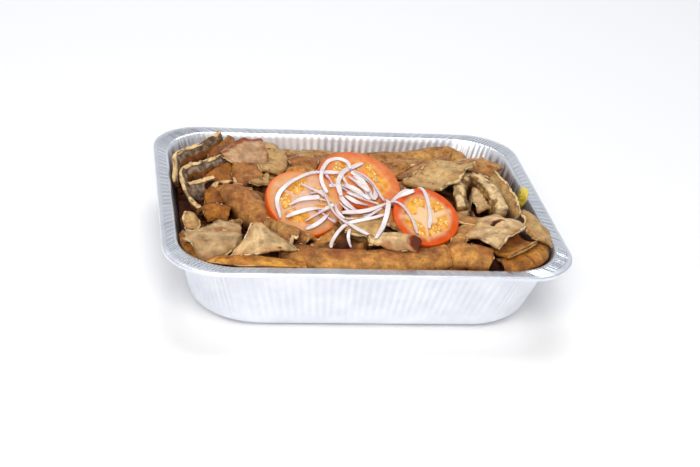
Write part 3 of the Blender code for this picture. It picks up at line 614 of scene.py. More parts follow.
def meat_sheet(strip, seed, step=1.1):
    """Points, faces and paint of a curled sheet of carved meat with torn edges.

    Paint holds how browned a point is, how near it is to a cut edge, how much painted shade it
    takes in pits, creases, grain valleys and a line along its rim, how far down the flank it is
    (flanks are painted paler as if lit), and how stained: the spots where the roast was darker or
    pinker, with holes above 1 painted near black as painted shade."""
    flat_cut = MEATS[strip["meat"]]["flake"] if "meat" in strip else False
    thick = strip.get("thick", 2.7 if flat_cut else 3.5)
    fray = strip.get("fray", 1.4)
    torn = strip.get("torn", 0.36 if flat_cut else 0.12)
    random = np.random.default_rng(seed)
    length = smooth_route(strip["route"], 3)[1]
    stations = max(10, int(length / step))
    columns = max(8, int(strip["width"] / step))
    spine, length = smooth_route(strip["route"], stations)
    along = np.linspace(0, 1, stations)
    taper = strip["taper"]
    widths = strip["width"] * np.interp(along, np.linspace(0, 1, len(taper)), taper)

    # Every point's place along (u, 0 to 1), across (v, -1 to 1) and through (w, 0 to 1) the sheet.
    across, depth, bulge = sheet_section(columns, thick)
    u = np.repeat(along, len(across))
    v, w, out = [np.tile(part, stations) for part in (across, depth, bulge)]

    # Both ends are torn back.
    half_full = strip["width"] / 2
    flat = np.column_stack([u * length, v * half_full, 0 * u])
    ends = np.column_stack([v * half_full, 30 * np.sign(u - 0.5), 0 * u])
    rough = jagged(ends, 4.2, seed)
    bites = [along_line(torn_line(random, strip["width"]), (v + 1) / 2) for _ in range(2)]
    eaten = np.where(u < 0.5, bites[0], bites[1]) * torn * half_full * 0.7
    from_start = u * length
    if "cut" in strip:
        eaten += np.where(u < 0.5, along_line(strip["cut"], (v + 1) / 2), 0.0)
    back = (eaten + 0.45 * fray * (rough + 1.2)) / length
    u = back + u * (1 - 2 * back)
    rows = u * (stations - 1)
    creases = []
    if abs(strip["curl"]) > ROLL_CURL and length > 40:
        creases = [(random.uniform(0.12, 0.88), random.uniform(0.5, 1.1), random.uniform(1.8, 3.6),
                    random.uniform(-7, 7)) for _ in range(int(length / 34))]

    # The route and the directions across it, at every point.
    order = np.arange(stations)
    spine_here = np.column_stack([np.interp(rows, order, spine[:, axis]) for axis in range(3)])
    sideways, upward = directions(spine)
    turn = math.radians(strip["roll"])
    crown = math.cos(turn) * upward + math.sin(turn) * sideways
    spread = math.cos(turn) * sideways - math.sin(turn) * upward
    crown_here = np.column_stack([np.interp(rows, order, crown[:, axis]) for axis in range(3)])
    spread_here = np.column_stack([np.interp(rows, order, spread[:, axis]) for axis in range(3)])
    width_here = np.interp(rows, order, widths)

    # Both sides are torn back, and the sheet is curled across.
    bend = math.radians(abs(strip["curl"]))
    sign = math.copysign(1, strip["curl"])
    shift = math.copysign(bend / 2, turn) if strip.get("hang") else 0.0
    radius = width_here / bend
    half = width_here / 2
    margin = np.column_stack([u * length, 40 * np.sign(v), 0 * u])
    teeth = jagged(margin, 4.2, seed + 2) - 0.4
    sides = [along_line(torn_line(random, length, 10.0), u) for _ in range(2)]
    notch = (np.where(v < 0, sides[0], sides[1]) - 0.3) * torn
    if "sides" in strip:
        cut = [along_line(reach, u) for reach in strip["sides"]]
        notch = 1 - np.where(v < 0, cut[0], cut[1]) + 0.25 * notch
    reach_out = v * half * (1 - notch) + np.sign(v) * np.abs(v) ** 4 * 0.5 * fray * teeth
    reach_out = reach_out + np.sign(v) * out
    angle = reach_out / radius + shift
    edge = np.minimum(half * (1 - notch) * (1 - np.abs(v)), np.minimum(u, 1 - u) * length)
    body = thick * (0.72 + 0.28 * ease(edge, 0, 4.0))
    reach = np.maximum(radius - sign * w * body, 0.3)
    sine = np.sin(angle)[:, None]
    cosine = np.cos(angle)[:, None]
    points = (spine_here + spread_here * reach[:, None] * sine
              + crown_here * sign * (reach[:, None] * cosine - radius[:, None]))
    normal = spread_here * sign * sine + crown_here * cosine

    # The surface sways, creases and pits, and holes sink where the stains pass 1. The material
    # paints those holes near black as painted shade.
    crumple = strip.get("crumple", 1.0)
    if flat_cut:
        crumple *= 1.5
    sway = crumple * (1.1 * lumps(flat, 19.0, seed + 4) + 0.5 * lumps(flat, 7.5, seed + 5))
    crease = 0 * u
    for at_u, deep, wide, slant in creases:
        crease = np.maximum(crease, deep * np.exp(-(((u - at_u) * length + slant * v) / wide) ** 2))
    sway = sway - crease
    sway = sway + crumple * 0.9 * ease(-edge, -5, 0) * lumps(flat, 11.0, seed + 9)
    sway = sway + strip.get("lip", 0.0) * (1 - ease(u * length, 0, 9))
    ribs = lumps(np.column_stack([u * length / 3.4, v * half_full, 0 * u]), 2.6, seed + 14)
    grain = 0.14 * lumps(points, 4.0, seed + 6) + 0.12 * ribs + 0.08 * lumps(points, 1.8, seed + 7)
    pits = ease(lumps(points, 3.8, seed + 8), 0.72, 0.9)
    stain_and_hole_shade = 0 * u
    for at_u, at_v, size, strength in strip.get("stains_and_hole_shades", ()):
        away = np.hypot((u - at_u) * length, (v - at_v) * half_full) + 1.2 * lumps(flat, 3.0, seed)
        stain_and_hole_shade = np.maximum(stain_and_hole_shade, strength * (1 - ease(away, 0.6 * size, 1.15 * size)))
    holes = 1.6 * ease(stain_and_hole_shade, 1.0, 2.0)
    outer = np.where(w < 0.5, 1.0, -1.0)
    points = points + normal * (sway + outer * (grain - 0.35 * pits - holes))[:, None]

    # The paint: crust on top, a cream edge, painted shade in pits, creases, grain valleys and along
    # the rim, and flanks painted paler as if lit.
    skin = 1 - ease(w, 0.05, 0.4)
    rim = strip.get("rim", 1.0)
    ragged = edge + 0.7 * lumps(points, 2.4, seed + 12)
    broken = 0.2 + ease(lumps(flat, 8.0, seed + 15), -0.35, 0.35)
    patchy = min(1.0, rim) * (0.5 + 0.5 * ease(lumps(points, 4.5, seed + 18), -0.4, 0.2))
    near_edge = np.where((w > 0.05) & (w < 0.95), patchy,
                         (1 - ease(ragged, 0.5 * rim, 2.4 * rim)) * broken)
    if "pale_end" in strip:
        blur = 0.8 * lumps(points, 2.4, seed + 19)
        near_edge = np.maximum(near_edge, 1 - ease(from_start + blur, 0.6 * strip["pale_end"],
                                                   strip["pale_end"]))
    if "band" in strip:
        lower = ease((v + 1) * half + 0.8 * lumps(flat, 3.0, seed + 17), *strip["band"])
        skin = np.maximum(skin, lower)
    # Painted light: a roll's flanks are painted paler than its top, as if lit, with random streaks
    # along it. A flat flake is painted darker towards its torn edges, as painted shade.
    streak = lumps(np.column_stack([u * length, 0.3 * v * half_full, 0 * u]), 11.0, seed + 16)
    flank_light_and_streaks = np.clip(ease(np.abs(reach_out / radius), 0.45, 1.25) + 0.45 * streak, 0, 1)
    if flat_cut:
        flank_light_and_streaks = ease(edge + 3.5 * lumps(flat, 7.0, seed + 13), 0.5, 8.0)
    # Painted shade: a darker line just inside the cream rim, and darkening in grain valleys, pits
    # and creases.
    line = strip.get("rim", 0) * ease(ragged, 1.4, 2.2) * (1 - ease(ragged, 2.8, 3.8))
    cavity_shade = np.clip(0.35 - 2.4 * grain + 0.6 * pits + 0.16 * crease + 0.4 * line, 0, 1)
    paint = np.column_stack([skin, near_edge, cavity_shade, flank_light_and_streaks, stain_and_hole_shade])
    return points, sheet_faces(columns, stations), paint


def bed_height(x, y):
    """Broad shape of the heap's top, before its lumps."""
    across = np.minimum(1, np.abs(x) / RIM_HALF_X)
    along = np.minimum(1, np.abs(y) / np.where(y < 0, RIM_HALF_Y, BED_BACK_REACH))
    crown = (1 - across ** 2) * (1 - along ** 2)
    front = np.maximum(0, -y / RIM_HALF_Y) ** 2 * BED_FRONT_EXTRA
    return BED_EDGE + (BED_CROWN - BED_EDGE) * crown + front


def hollow_drop(x, y):
    """How far the heap sinks into the hollows between the pieces."""
    drop = 0 * x
    for hollow_x, hollow_y, wide, deep in HOLLOWS:
        away = ((x - hollow_x) ** 2 + (y - hollow_y) ** 2) / wide ** 2
        drop = drop + deep * np.exp(-away)
    return drop


# ---------------------------------------------------------------- materials


def node(tree, kind, settings=None, inputs=None):
    """Adds a node, sets its properties, and sets or links its inputs."""
    made = tree.nodes.new(kind)
    for name, value in (settings or {}).items():
        setattr(made, name, value)
    for name, value in (inputs or {}).items():
        if isinstance(value, bpy.types.NodeSocket):
            tree.links.new(value, made.inputs[name])
        else:
            made.inputs[name].default_value = value
    return made


def new_material(name, **values):
    """A Principled material with these uniform socket values, its tree and its shader."""
    made = bpy.data.materials.new(name)
    made.use_nodes = True
    tree = made.node_tree
    shader = tree.nodes["Principled BSDF"]
    for socket, value in values.items():
        shader.inputs[socket.replace("_", " ")].default_value = value
    return made, tree, shader


def mixed(tree, factor, first, second, blend="MIX"):
    """The colour socket of a mix of two colours."""
    return node(tree, "ShaderNodeMix", {"data_type": "RGBA", "blend_type": blend},
                {0: factor, 6: first, 7: second}).outputs[2]


def dress(tree, shader, colour, height=None, strength=0.0, deep=0.0):
    """Gives a shader its colour and, where it has a pattern of heights, a relief this deep (mm)."""
    tree.links.new(colour, shader.inputs["Base Color"])
    if height is not None:
        bump = node(tree, "ShaderNodeBump", None,
                    {"Strength": strength, "Distance": deep * MM, "Height": height})
        tree.links.new(bump.outputs[0], shader.inputs["Normal"])


def spots_of(tree, place, size, detail, low, high):
    """A 0 to 1 pattern of blotches about size millimetres across."""
    noise = node(tree, "ShaderNodeTexNoise", None,
                 {"Vector": place, "Scale": 1 / (size * MM), "Detail": detail, "Roughness": 0.6})
    return node(tree, "ShaderNodeMapRange", {"interpolation_type": "SMOOTHSTEP"},
                {0: noise.outputs["Fac"], 1: low, 2: high}).outputs[0]


def pressed_foil():
    """Rolled and pressed aluminium foil: bright, satin, with faint cloudy patches.

    The rolling leaves a fine grain that blurs what it mirrors, less so where the press ironed the
    flange flat. Brown streaks down the inside of the short walls are painted shade and painted
    reflection of the meat."""
    made, tree, shader = new_material("pressed_aluminium_foil", Metallic=1.0)
    colours = bpy.context.scene.foil_meal_colours
    place = node(tree, "ShaderNodeTexCoord").outputs["Object"]
    haze = spots_of(tree, place, 22.0, 3.0, 0.25, 0.75)
    base = mixed(tree, haze, (*colours.foil_shade, 1), (*colours.foil, 1))
    paint = node(tree, "ShaderNodeAttribute", {"attribute_name": "paint"}).outputs["Color"]
    flat, wall_shade_and_reflection, _ = node(tree, "ShaderNodeSeparateColor", None, {0: paint}).outputs
    # Painted shade and painted reflection of the meat: brown streaks down the inside of the short
    # walls.
    base = mixed(tree, wall_shade_and_reflection, base, linear("#6A431E"))
    ironed = node(tree, "ShaderNodeMapRange", None, {0: flat, 3: 0.45, 4: 0.23}).outputs[0]
    rough = node(tree, "ShaderNodeMath", {"operation": "MULTIPLY_ADD"},
                 {0: haze, 1: 0.06, 2: ironed})
    tree.links.new(rough.outputs[0], shader.inputs["Roughness"])
    # The grain of rolled foil is finer than this. It is drawn coarser so that it shows.
    grain = spots_of(tree, place, 1.1, 3.0, 0.2, 0.8)
    dress(tree, shader, base, grain, 0.12, 0.2)
    return made


def roast_meat(kind):
    """Carved roast meat: browned crust over a paler, porous cut face.

    Fat in the crust gives a soft broken sheen. The crust is painted brown on top and golden down
    the flanks, as light falls on a roll, over random tone, and dries to a crumbly cream rim with a
    line of painted shade beside it. Pits, creases, holes and the gaps between pieces are painted
    dark as shade."""
    cut = MEATS[kind]
    crust_dark, crust_light = [linear(code) for code in cut["crust"]]
    face_dark, face_light = [linear(code) for code in cut["face"]]
    edge = linear(cut["edge"])
    made, tree, shader = new_material(
        "carved_meat_" + kind, Subsurface_Weight=0.1, Subsurface_Scale=1.2 * MM,
        Specular_IOR_Level=0.22)
    place = node(tree, "ShaderNodeTexCoord").outputs["Object"]
    painted = node(tree, "ShaderNodeAttribute", {"attribute_name": "paint"})
    flank_light_and_streaks = painted.outputs["Alpha"]
    skin, rim, cavity_shade = node(tree, "ShaderNodeSeparateColor", None,
                          {0: painted.outputs["Color"]}).outputs
    tone = spots_of(tree, place, 17.0, 2.0, 0.34, 0.66)
    patch = spots_of(tree, place, 5.0, 3.0, 0.34, 0.66)
    fleck = spots_of(tree, place, 1.9, 4.0, 0.34, 0.68)
    bruise = spots_of(tree, place, 9.0, 3.0, 0.52, 0.66)
    # Painted light: the flanks are painted golden and the top browner, as light falls on a roll,
    # over random tone.
    golden = node(tree, "ShaderNodeMath", {"operation": "MULTIPLY_ADD", "use_clamp": True},
                  {0: flank_light_and_streaks, 1: 0.55, 2: node(tree, "ShaderNodeMapRange", None,
                                              {0: tone, 3: 0.0, 4: 0.55}).outputs[0]}).outputs[0]
    crust = mixed(tree, golden, crust_dark, crust_light)
    reddish = node(tree, "ShaderNodeMath", {"operation": "MULTIPLY"}, {0: bruise, 1: 0.35})
    crust = mixed(tree, reddish.outputs[0], crust, mixed(tree, 1.0, crust, linear("#BC9480"),
                                                         "MULTIPLY"))
    face = mixed(tree, patch, face_dark, face_light)
    base = mixed(tree, skin, face, crust)
    mottle = 0.5 if cut["flake"] else 1.0
    cloud = node(tree, "ShaderNodeMapRange", None,
                 {0: patch, 3: 1 - 0.24 * mottle, 4: 1 + 0.12 * mottle}).outputs[0]
    base = mixed(tree, 1.0, base, cloud, "MULTIPLY")
    # Painted shade: a darker line where the cream rim fades into the crust.
    rim_line_shade = node(tree, "ShaderNodeMapRange", {"interpolation_type": "SMOOTHSTEP"},
                    {0: rim, 1: 0.02, 2: 0.3, 3: 0.0, 4: 0.55}).outputs[0]
    base = mixed(tree, rim_line_shade, base, mixed(tree, 1.0, base, linear("#9A7458"), "MULTIPLY"))
    cream = node(tree, "ShaderNodeMapRange", {"interpolation_type": "SMOOTHSTEP"},
                 {0: rim, 1: 0.35, 2: 0.75}).outputs[0]
    base = mixed(tree, cream, base, edge)
    shade = node(tree, "ShaderNodeMapRange", None,
                 {0: fleck, 3: 1 - 0.16 * mottle, 4: 1 + 0.1 * mottle}).outputs[0]
    base = mixed(tree, 1.0, base, shade, "MULTIPLY")
    # Painted shade in grain valleys, pits, creases and along the rim.
    sunk = node(tree, "ShaderNodeMapRange", None, {0: cavity_shade, 1: 0.2, 2: 1.0, 3: 1.1, 4: 0.45})
    base = mixed(tree, 1.0, base, sunk.outputs[0], "MULTIPLY")
    # Stains tint the meat reddish brown. Above 1 they mark holes painted near black as painted
    # shade.
    stain_and_hole_shade = node(tree, "ShaderNodeAttribute", {"attribute_name": "stain_and_hole_shade"}).outputs["Fac"]
    base = mixed(tree, stain_and_hole_shade, base, linear("#843410"))
    hole_shade = node(tree, "ShaderNodeMapRange", None, {0: stain_and_hole_shade, 1: 1.0, 2: 1.8}).outputs[0]
    base = mixed(tree, hole_shade, base, linear("#20120A"))
    # Painted shade deep in the gaps between the pieces.
    deep = node(tree, "ShaderNodeAttribute", {"attribute_name": "depth"}).outputs["Fac"]
    base = mixed(tree, deep, base, mixed(tree, 1.0, base, linear("#6E4A34"), "MULTIPLY"))
    rough = node(tree, "ShaderNodeMapRange", None, {0: fleck, 3: 0.62, 4: 0.44})
    tree.links.new(rough.outputs[0], shader.inputs["Roughness"])
    # The meat's fibres and pores are finer than this. They are drawn coarser so that they show.
    pores = spots_of(tree, place, 0.9, 3.0, 0.25, 0.75)
    height = node(tree, "ShaderNodeMath", {"operation": "MULTIPLY_ADD"},
                  {0: pores, 1: 0.5, 2: fleck})
    dress(tree, shader, base, height.outputs[0], 0.6, 0.5)
    return made


def cut_tomato(name, piece):
    """A ripe tomato cut with a sharp knife: wet flesh, jelly round the seeds, taut waxy skin."""
    made, tree, shader = new_material(
        "cut_" + name, Roughness=0.3, Subsurface_Weight=0.12, Subsurface_Scale=2.0 * MM,
        Specular_IOR_Level=0.1)
    place = node(tree, "ShaderNodeTexCoord").outputs["Object"]
    paint = node(tree, "ShaderNodeAttribute", {"attribute_name": "paint"}).outputs["Color"]
    skin, jelly, middle = node(tree, "ShaderNodeSeparateColor", None, {0: paint}).outputs
    colours = bpy.context.scene.foil_meal_colours
    cloud = spots_of(tree, place, 6.0, 4.0, 0.3, 0.7)
    base = mixed(tree, middle, linear(piece["wall"]), linear(piece["flesh"]))
    base = mixed(tree, cloud, base, mixed(tree, 0.12, base, linear("#F6DDB4")))
    base = mixed(tree, jelly, base, mixed(tree, cloud, linear("#C4761F"), linear("#EEB450")))
    base = mixed(tree, skin, base, (*colours.tomato_skin, 1))
    # The cells of the flesh are finer than this. They are drawn coarser so that they show.
    fibre = spots_of(tree, place, 1.6, 3.0, 0.2, 0.8)
    dress(tree, shader, base, fibre, 0.3, 0.3)
    return made


def tomato_seed():
    """Wet tomato seeds in their jelly coats: straw coloured and shiny."""
    made, tree, shader = new_material(
        "tomato_seed", Roughness=0.2, Subsurface_Weight=0.2, Subsurface_Scale=1.0 * MM)
    place = node(tree, "ShaderNodeTexCoord").outputs["Object"]
    cloud = spots_of(tree, place, 1.5, 2.0, 0.3, 0.7)
    dress(tree, shader, mixed(tree, cloud, linear("#CE9A48"), linear("#F0D48C")))
    return made


def sliced_onion():
    """Raw red onion sliced thin: wet, milky and see-through, purple at the skin, with lilac edges
    that are partly its own see-through colour and partly painted shade.
    """
    made, tree, shader = new_material(
        "sliced_red_onion", Roughness=0.28, Subsurface_Weight=0.15, Subsurface_Scale=1.5 * MM)
    place = node(tree, "ShaderNodeTexCoord").outputs["Object"]
    paint = node(tree, "ShaderNodeAttribute", {"attribute_name": "paint"}).outputs["Color"]
    skin, veil_and_edge_shade, _ = node(tree, "ShaderNodeSeparateColor", None, {0: paint}).outputs
    colours = bpy.context.scene.foil_meal_colours
    cloud = spots_of(tree, place, 8.0, 3.0, 0.3, 0.7)
    base = mixed(tree, cloud, (*colours.onion, 1), linear("#D8CACE"))
    # Lilac edges: partly the onion's see-through colour, partly painted shade.
    base = mixed(tree, veil_and_edge_shade, base, linear("#C4A8BE"))
    base = mixed(tree, skin, base, (*colours.onion_skin, 1))
    # The onion's fine ribs are drawn coarser than they are so that they show.
    ribs = spots_of(tree, place, 1.3, 2.0, 0.2, 0.8)
    dress(tree, shader, base, ribs, 0.2, 0.3)
    return made


def mustard_sauce():
    """A smear of smooth yellow sauce: thick, wet and glossy."""
    made, tree, shader = new_material(
        "yellow_sauce", Roughness=0.2, Subsurface_Weight=0.2, Subsurface_Scale=1.5 * MM)
    place = node(tree, "ShaderNodeTexCoord").outputs["Object"]
    cloud = spots_of(tree, place, 4.0, 3.0, 0.3, 0.7)
    dress(tree, shader, mixed(tree, cloud, linear("#D2B426"), linear("#E6D65A")))
    return made


def polished_board():
    """White lacquered board: clean, with a weak mirror of what stands on it."""
    made, _, shader = new_material("white_lacquered_board", Roughness=0.12)
    shader.inputs["Base Color"].default_value = linear("#FBFBFB")
    return made


# ---------------------------------------------------------------- pieces


def rim_ring(inset, steps_straight, steps_corner):
    """Points round the tray at an inset, their outward directions, and how deep in a corner."""
    corner = RIM_CORNER + inset * CORNER_GROWTH
    half = (RIM_HALF_X - inset, RIM_HALF_Y - inset)
    places, outs, bends = [], [], []
    for turn, (sx, sy) in enumerate([(1, 1), (-1, 1), (-1, -1), (1, -1)]):
        middle = np.array([sx * (half[0] - corner), sy * (half[1] - corner)])
        for step in range(steps_corner):
            angle = math.pi / 2 * (turn + step / steps_corner)
            out = np.array([math.cos(angle), math.sin(angle)])
            places.append(middle + corner * out)
            outs.append(out)
            bends.append(math.sin(math.pi * step / steps_corner))
        axis = turn % 2
        number = steps_straight[axis]
        out = np.array([math.cos(math.pi / 2 * (turn + 1)), math.sin(math.pi / 2 * (turn + 1))])
        start = middle + corner * out
        ahead = np.array([-out[1], out[0]])
        run = 2 * (half[0 if axis == 0 else 1] - corner)
        for step in range(number):
            places.append(start + ahead * run * step / number)
            outs.append(out)
            bends.append(0.0)
    return np.array(places), np.array(outs), np.array(bends)


def tray_section():
    """The foil's section as (inset, height, how much flute, how much crimp), round the sheet."""
    flange = TRAY_HEIGHT - RIPPLE_ROOM
    foot = wall_inset(BOTTOM_FILLET)
    centre = foot + BOTTOM_FILLET * math.cos(WALL_LEAN)
    head = FLANGE_WIDTH + FLANGE_FILLET * math.tan(WALL_LEAN)
    sides = []
    for thin, low in ((0.0, flange - FOIL / 2), (FOIL, flange + FOIL / 2)):
        rows = []
        for step in range(9):
            angle = (math.pi / 2 - WALL_LEAN) * step / 8
            reach = BOTTOM_FILLET - thin
            rows.append((centre - reach * math.sin(angle), BOTTOM_FILLET - reach * math.cos(angle),
                         0.5 * max(0, step / 8 - 0.4), 0.0))
        top = low - FLANGE_FILLET
        start_inset, start_height = rows[-1][:2]
        for share in np.linspace(0, 1, 17)[1:]:
            flute = 0.3 + 0.7 * math.sin(math.pi * min(1, 0.12 + share * 0.86))
            rows.append((start_inset + (head + thin - start_inset) * share,
                         start_height + (top - start_height) * share, flute, 0.25 * share))
        rows.append((FLANGE_WIDTH + thin + 0.05, low - 0.45 * FLANGE_FILLET, 0.2, 0.5))
        rows.append((FLANGE_WIDTH + thin - 0.5, low - 0.1 * FLANGE_FILLET, 0.05, 0.8))
        for inset in FLANGE_ROWS:
            rows.append((inset, low, 0.0, 1.0))
        sides.append(rows)
    bead = []
    for step in range(13):
        angle = math.radians(-150 + 20 * step)
        along, up = [math.copysign(math.sqrt(abs(part)), part)
                     for part in (math.cos(angle), math.sin(angle))]
        bead.append((BEAD_RADIUS * (1 - along), flange + FOIL / 2 - BEAD_RADIUS * (1 - up),
                     0.0, 0.6))
    return sides[0] + bead + sides[1][::-1]


def make_tray():
    """The pressed tray: fluted walls that pleat round the corners, crimped flange, rolled rim.

    Paint holds how flat the press ironed the foil, and brown streaks of painted shade and painted
    reflection of the meat down the inside of the short walls."""
    sizes = bpy.context.scene.foil_meal_sizes
    pitch = sizes.flute_pitch / MM
    steps = [int(2 * (half - RIM_CORNER) / TRAY_STEP) for half in (RIM_HALF_X, RIM_HALF_Y)]
    rows = tray_section()
    rim = rim_ring(0.0, steps, TRAY_CORNER_STEPS)[0]
    count = len(rim)
    run = np.cumsum(np.linalg.norm(np.diff(rim, axis=0, append=rim[:1]), axis=1))
    beat = run / pitch
    place = np.column_stack([run, 0 * run, 0 * run])
    points, paint = [], []
    streaks = 0.25 + 0.75 * ease(lumps(place, 2.6, 14), -0.3, 0.4)
    for number, (inset, height, flute, crimp) in enumerate(rows):
        ring, out, bend = rim_ring(inset, steps, TRAY_CORNER_STEPS)
        bend = ease(bend, 0.0, 0.75)
        wobble = np.column_stack([ring, np.full(count, height)])
        straight = np.cos(2 * np.pi * beat + 0.5 * lumps(place, 30.0, 3))
        pleat = np.cos(2 * np.pi * (beat * 1.75 + 0.35 * lumps(place, 9.0, 4)))
        pleat = np.sign(pleat) * np.abs(pleat) ** 0.7
        deep = 0.65 + 0.5 * lumps(place, 8.0, 5)
        wave = ((1 - bend) * sizes.flute_depth / MM * straight * (0.8 + 0.5 * lumps(place, 23.0, 6))
                + bend * sizes.pleat_depth / MM * pleat * deep)
        dent = 0.30 * lumps(wobble, 46.0, 8) + 0.05 * lumps(wobble, 13.0, 9)
        shift = flute * (wave - 0.2) + dent * min(1, 4 * flute)
        ripple = np.cos(2 * np.pi * (beat * 2.6 + 0.4 * lumps(place, 6.0, 12)))
        lift = crimp * (bend * 0.42 * ripple * (0.8 + 0.6 * lumps(place, 7.0, 10))
                        + (1 - bend) * (0.05 * straight + 0.13 * lumps(place, 5.0, 11)))
        lift = lift + (0.25 * lumps(wobble, 40.0, 13)) * min(1, 2 * crimp)
        spot = np.column_stack([ring + out * shift[:, None],
                                height + lift - 0.35 * min(1, 2 * crimp)])
        spot[:, 2] = np.clip(spot[:, 2], 0.0, TRAY_HEIGHT - 0.05)
        spot[:, 0] = np.clip(spot[:, 0], -RIM_HALF_X, RIM_HALF_X)
        spot[:, 1] = np.clip(spot[:, 1], -RIM_HALF_Y, RIM_HALF_Y)
        points.append(spot)
        inside = ease(TRAY_HEIGHT - height, 1.5, 8.0) if number > len(rows) / 2 else 0.0
        # Painted shade and reflection of the meat, in streaks down the inner short walls.
        wall_shade_and_reflection = 0.85 * inside * out[:, 0] ** 2 * streaks
        paint.append(np.column_stack([0 * wall_shade_and_reflection + max(0.0, crimp - 0.25) / 0.75, wall_shade_and_reflection, 0 * wall_shade_and_reflection]))
    made = build("pressed_tray", np.vstack(points), tube(count, len(rows)), pressed_foil(),
                 np.vstack(paint))
    settle_in(made, "pressed_foil", "tray")
    return made


def slice_frame(piece):
    """Directions of a tomato slice: across it, ahead on it, and its face normal."""
    front = math.radians(piece["front"])
    right = math.radians(piece["right"])
    normal = Vector((math.sin(right), -math.sin(front), math.cos(front) * math.cos(right)))
    normal.normalize()
    across = Vector((1, 0, 0)) - normal * normal.x
    across.normalize()
    return np.array(across), np.array(normal.cross(across)), np.array(normal)


def chamber_pattern(distance, angle, piece):
    """Where the seed chambers of a slice are, from 0 to 1, and where its flesh is pale."""
    number = piece["chambers"]
    seed = int(piece["radius"] * 2)
    wobble = 0.22 * np.sin(2 * angle + seed) + 0.12 * np.sin(3 * angle + 1.7 * seed)
    sector = np.abs(((angle + wobble) * number / (2 * np.pi)) % 1 - 0.5) * 2
    middle = 0.50 + 0.05 * np.sin(5 * angle + seed)
    radial = 1 - np.abs(distance - middle) / 0.22
    gel = ease(np.minimum(radial, (1 - sector) * 2.0 * distance / 0.5 - 0.15), 0.06, 0.32)
    core = 1 - ease(distance, 0.55, 0.86)
    ray = ease(sector, 0.72, 1.0) * ease(distance, 0.2, 0.4) * (1 - ease(distance, 0.8, 0.95))
    return gel, np.maximum(core, 0.65 * ray)


def make_tomato(name, piece, finish, above):
    """One slice: sunken jelly chambers in a slightly domed face, and a round skin edge."""
    across, ahead, normal = slice_frame(piece)
    radius = piece["radius"]
    turns = 150
    rings = int(radius / 0.9)
    shares = np.linspace(0.02, 0.97, rings)
    section = [(share, TOMATO_HALF, 0.0) for share in shares]
    for step in range(1, 8):
        swing = math.pi * step / 8
        section.append((0.97 + 0.03 * math.sin(swing), TOMATO_HALF * math.cos(swing), 1.0))
    section += [(share, -TOMATO_HALF, 0.0) for share in shares[::-1]]
    angle = np.linspace(0, 2 * np.pi, turns, endpoint=False)
    seed = int(radius * 3)
    points, paint = [], []
    for share, lift, skin in section:
        lobe = 1 + 0.02 * np.sin(3 * angle + radius)
        gel, pale = chamber_pattern(np.full(turns, share), angle, piece)
        flat = np.column_stack([share * radius * np.cos(angle), share * radius * np.sin(angle),
                                np.full(turns, lift)])
        sunk = 1.3 * gel - 0.5 * ease(lumps(flat, 3.0, seed), 0.1, 0.7) * gel
        relief = 0.25 * lumps(flat, 7.0, seed + 1) - sunk + 0.4 * (1 - share ** 2)
        rise = lift + np.sign(lift) * (relief if not skin else 0)
        reach = share * radius * lobe
        spot = (np.array(piece["centre"]) + np.outer(reach * np.cos(angle), across)
                + np.outer(reach * np.sin(angle), ahead) + np.outer(rise * np.ones(turns), normal))
        points.append(spot)
        near_skin = ease(share + 0.02 * lumps(flat, 5.0, seed + 2), piece["skin"],
                         piece["skin"] + 0.13)
        paint.append(np.column_stack([near_skin * (0.65 + 0.35 * skin), gel * (1 - skin), pale]))
    points = tuck(np.vstack(points), above)
    made = build(name + "_cut", points, tube(turns, len(section)), finish, np.vstack(paint))
    settle_in(made, "tomato", name)
    return made


def make_seeds(tomatoes, finish):
    """Flat pale seeds in the jelly chambers, one joined mesh."""
    random = np.random.default_rng(11)
    body = bmesh.new()
    for name, piece in tomatoes.items():
        across, ahead, normal = slice_frame(piece)
        tree = surface(bpy.data.objects[name + "_cut"])[0]
        placed = 0
        while placed < SEEDS_PER_CHAMBER * piece["chambers"]:
            share = random.uniform(0.36, 0.76)
            angle = random.uniform(0, 2 * math.pi)
            gel = chamber_pattern(np.array([share]), np.array([angle]), piece)[0][0]
            if gel < 0.6:
                continue
            placed += 1
            reach = share * piece["radius"]
            spot = (np.array(piece["centre"]) + across * reach * math.cos(angle)
                    + ahead * reach * math.sin(angle))
            start = Vector(spot + 12 * normal) * MM
            hit = tree.ray_cast(start, Vector(-normal))[0]
            if hit is None:
                continue
            ball = bmesh.ops.create_icosphere(body, subdivisions=2, radius=MM)
            turn = Euler((0, 0, angle + random.uniform(-0.4, 0.4))).to_matrix()
            for vert in ball["verts"]:
                local = turn @ Vector([at * half for at, half in zip(vert.co, SEED_SIZE)])
                vert.co = (hit + Vector(across) * local.x + Vector(ahead) * local.y
                           + Vector(normal) * (local.z + 0.05 * MM))
    mesh = bpy.data.meshes.new("tomato_seeds")
    body.to_mesh(mesh)
    body.free()
    made = place_mesh("tomato_seeds", mesh, finish)
    settle_in(made, "tomato")
    return made


def make_strip(name, strip, seed, finishes, above):
    """One named strip of carved meat, tucked under what lies on it and held by the tray."""
    points, faces, paint = meat_sheet(strip, seed)
    points = keep_inside(tuck(points, above))
    made = build(name + "_carved", points, faces, finishes[strip["meat"]], paint)
    settle_in(made, "carved_meat", name)
    return made


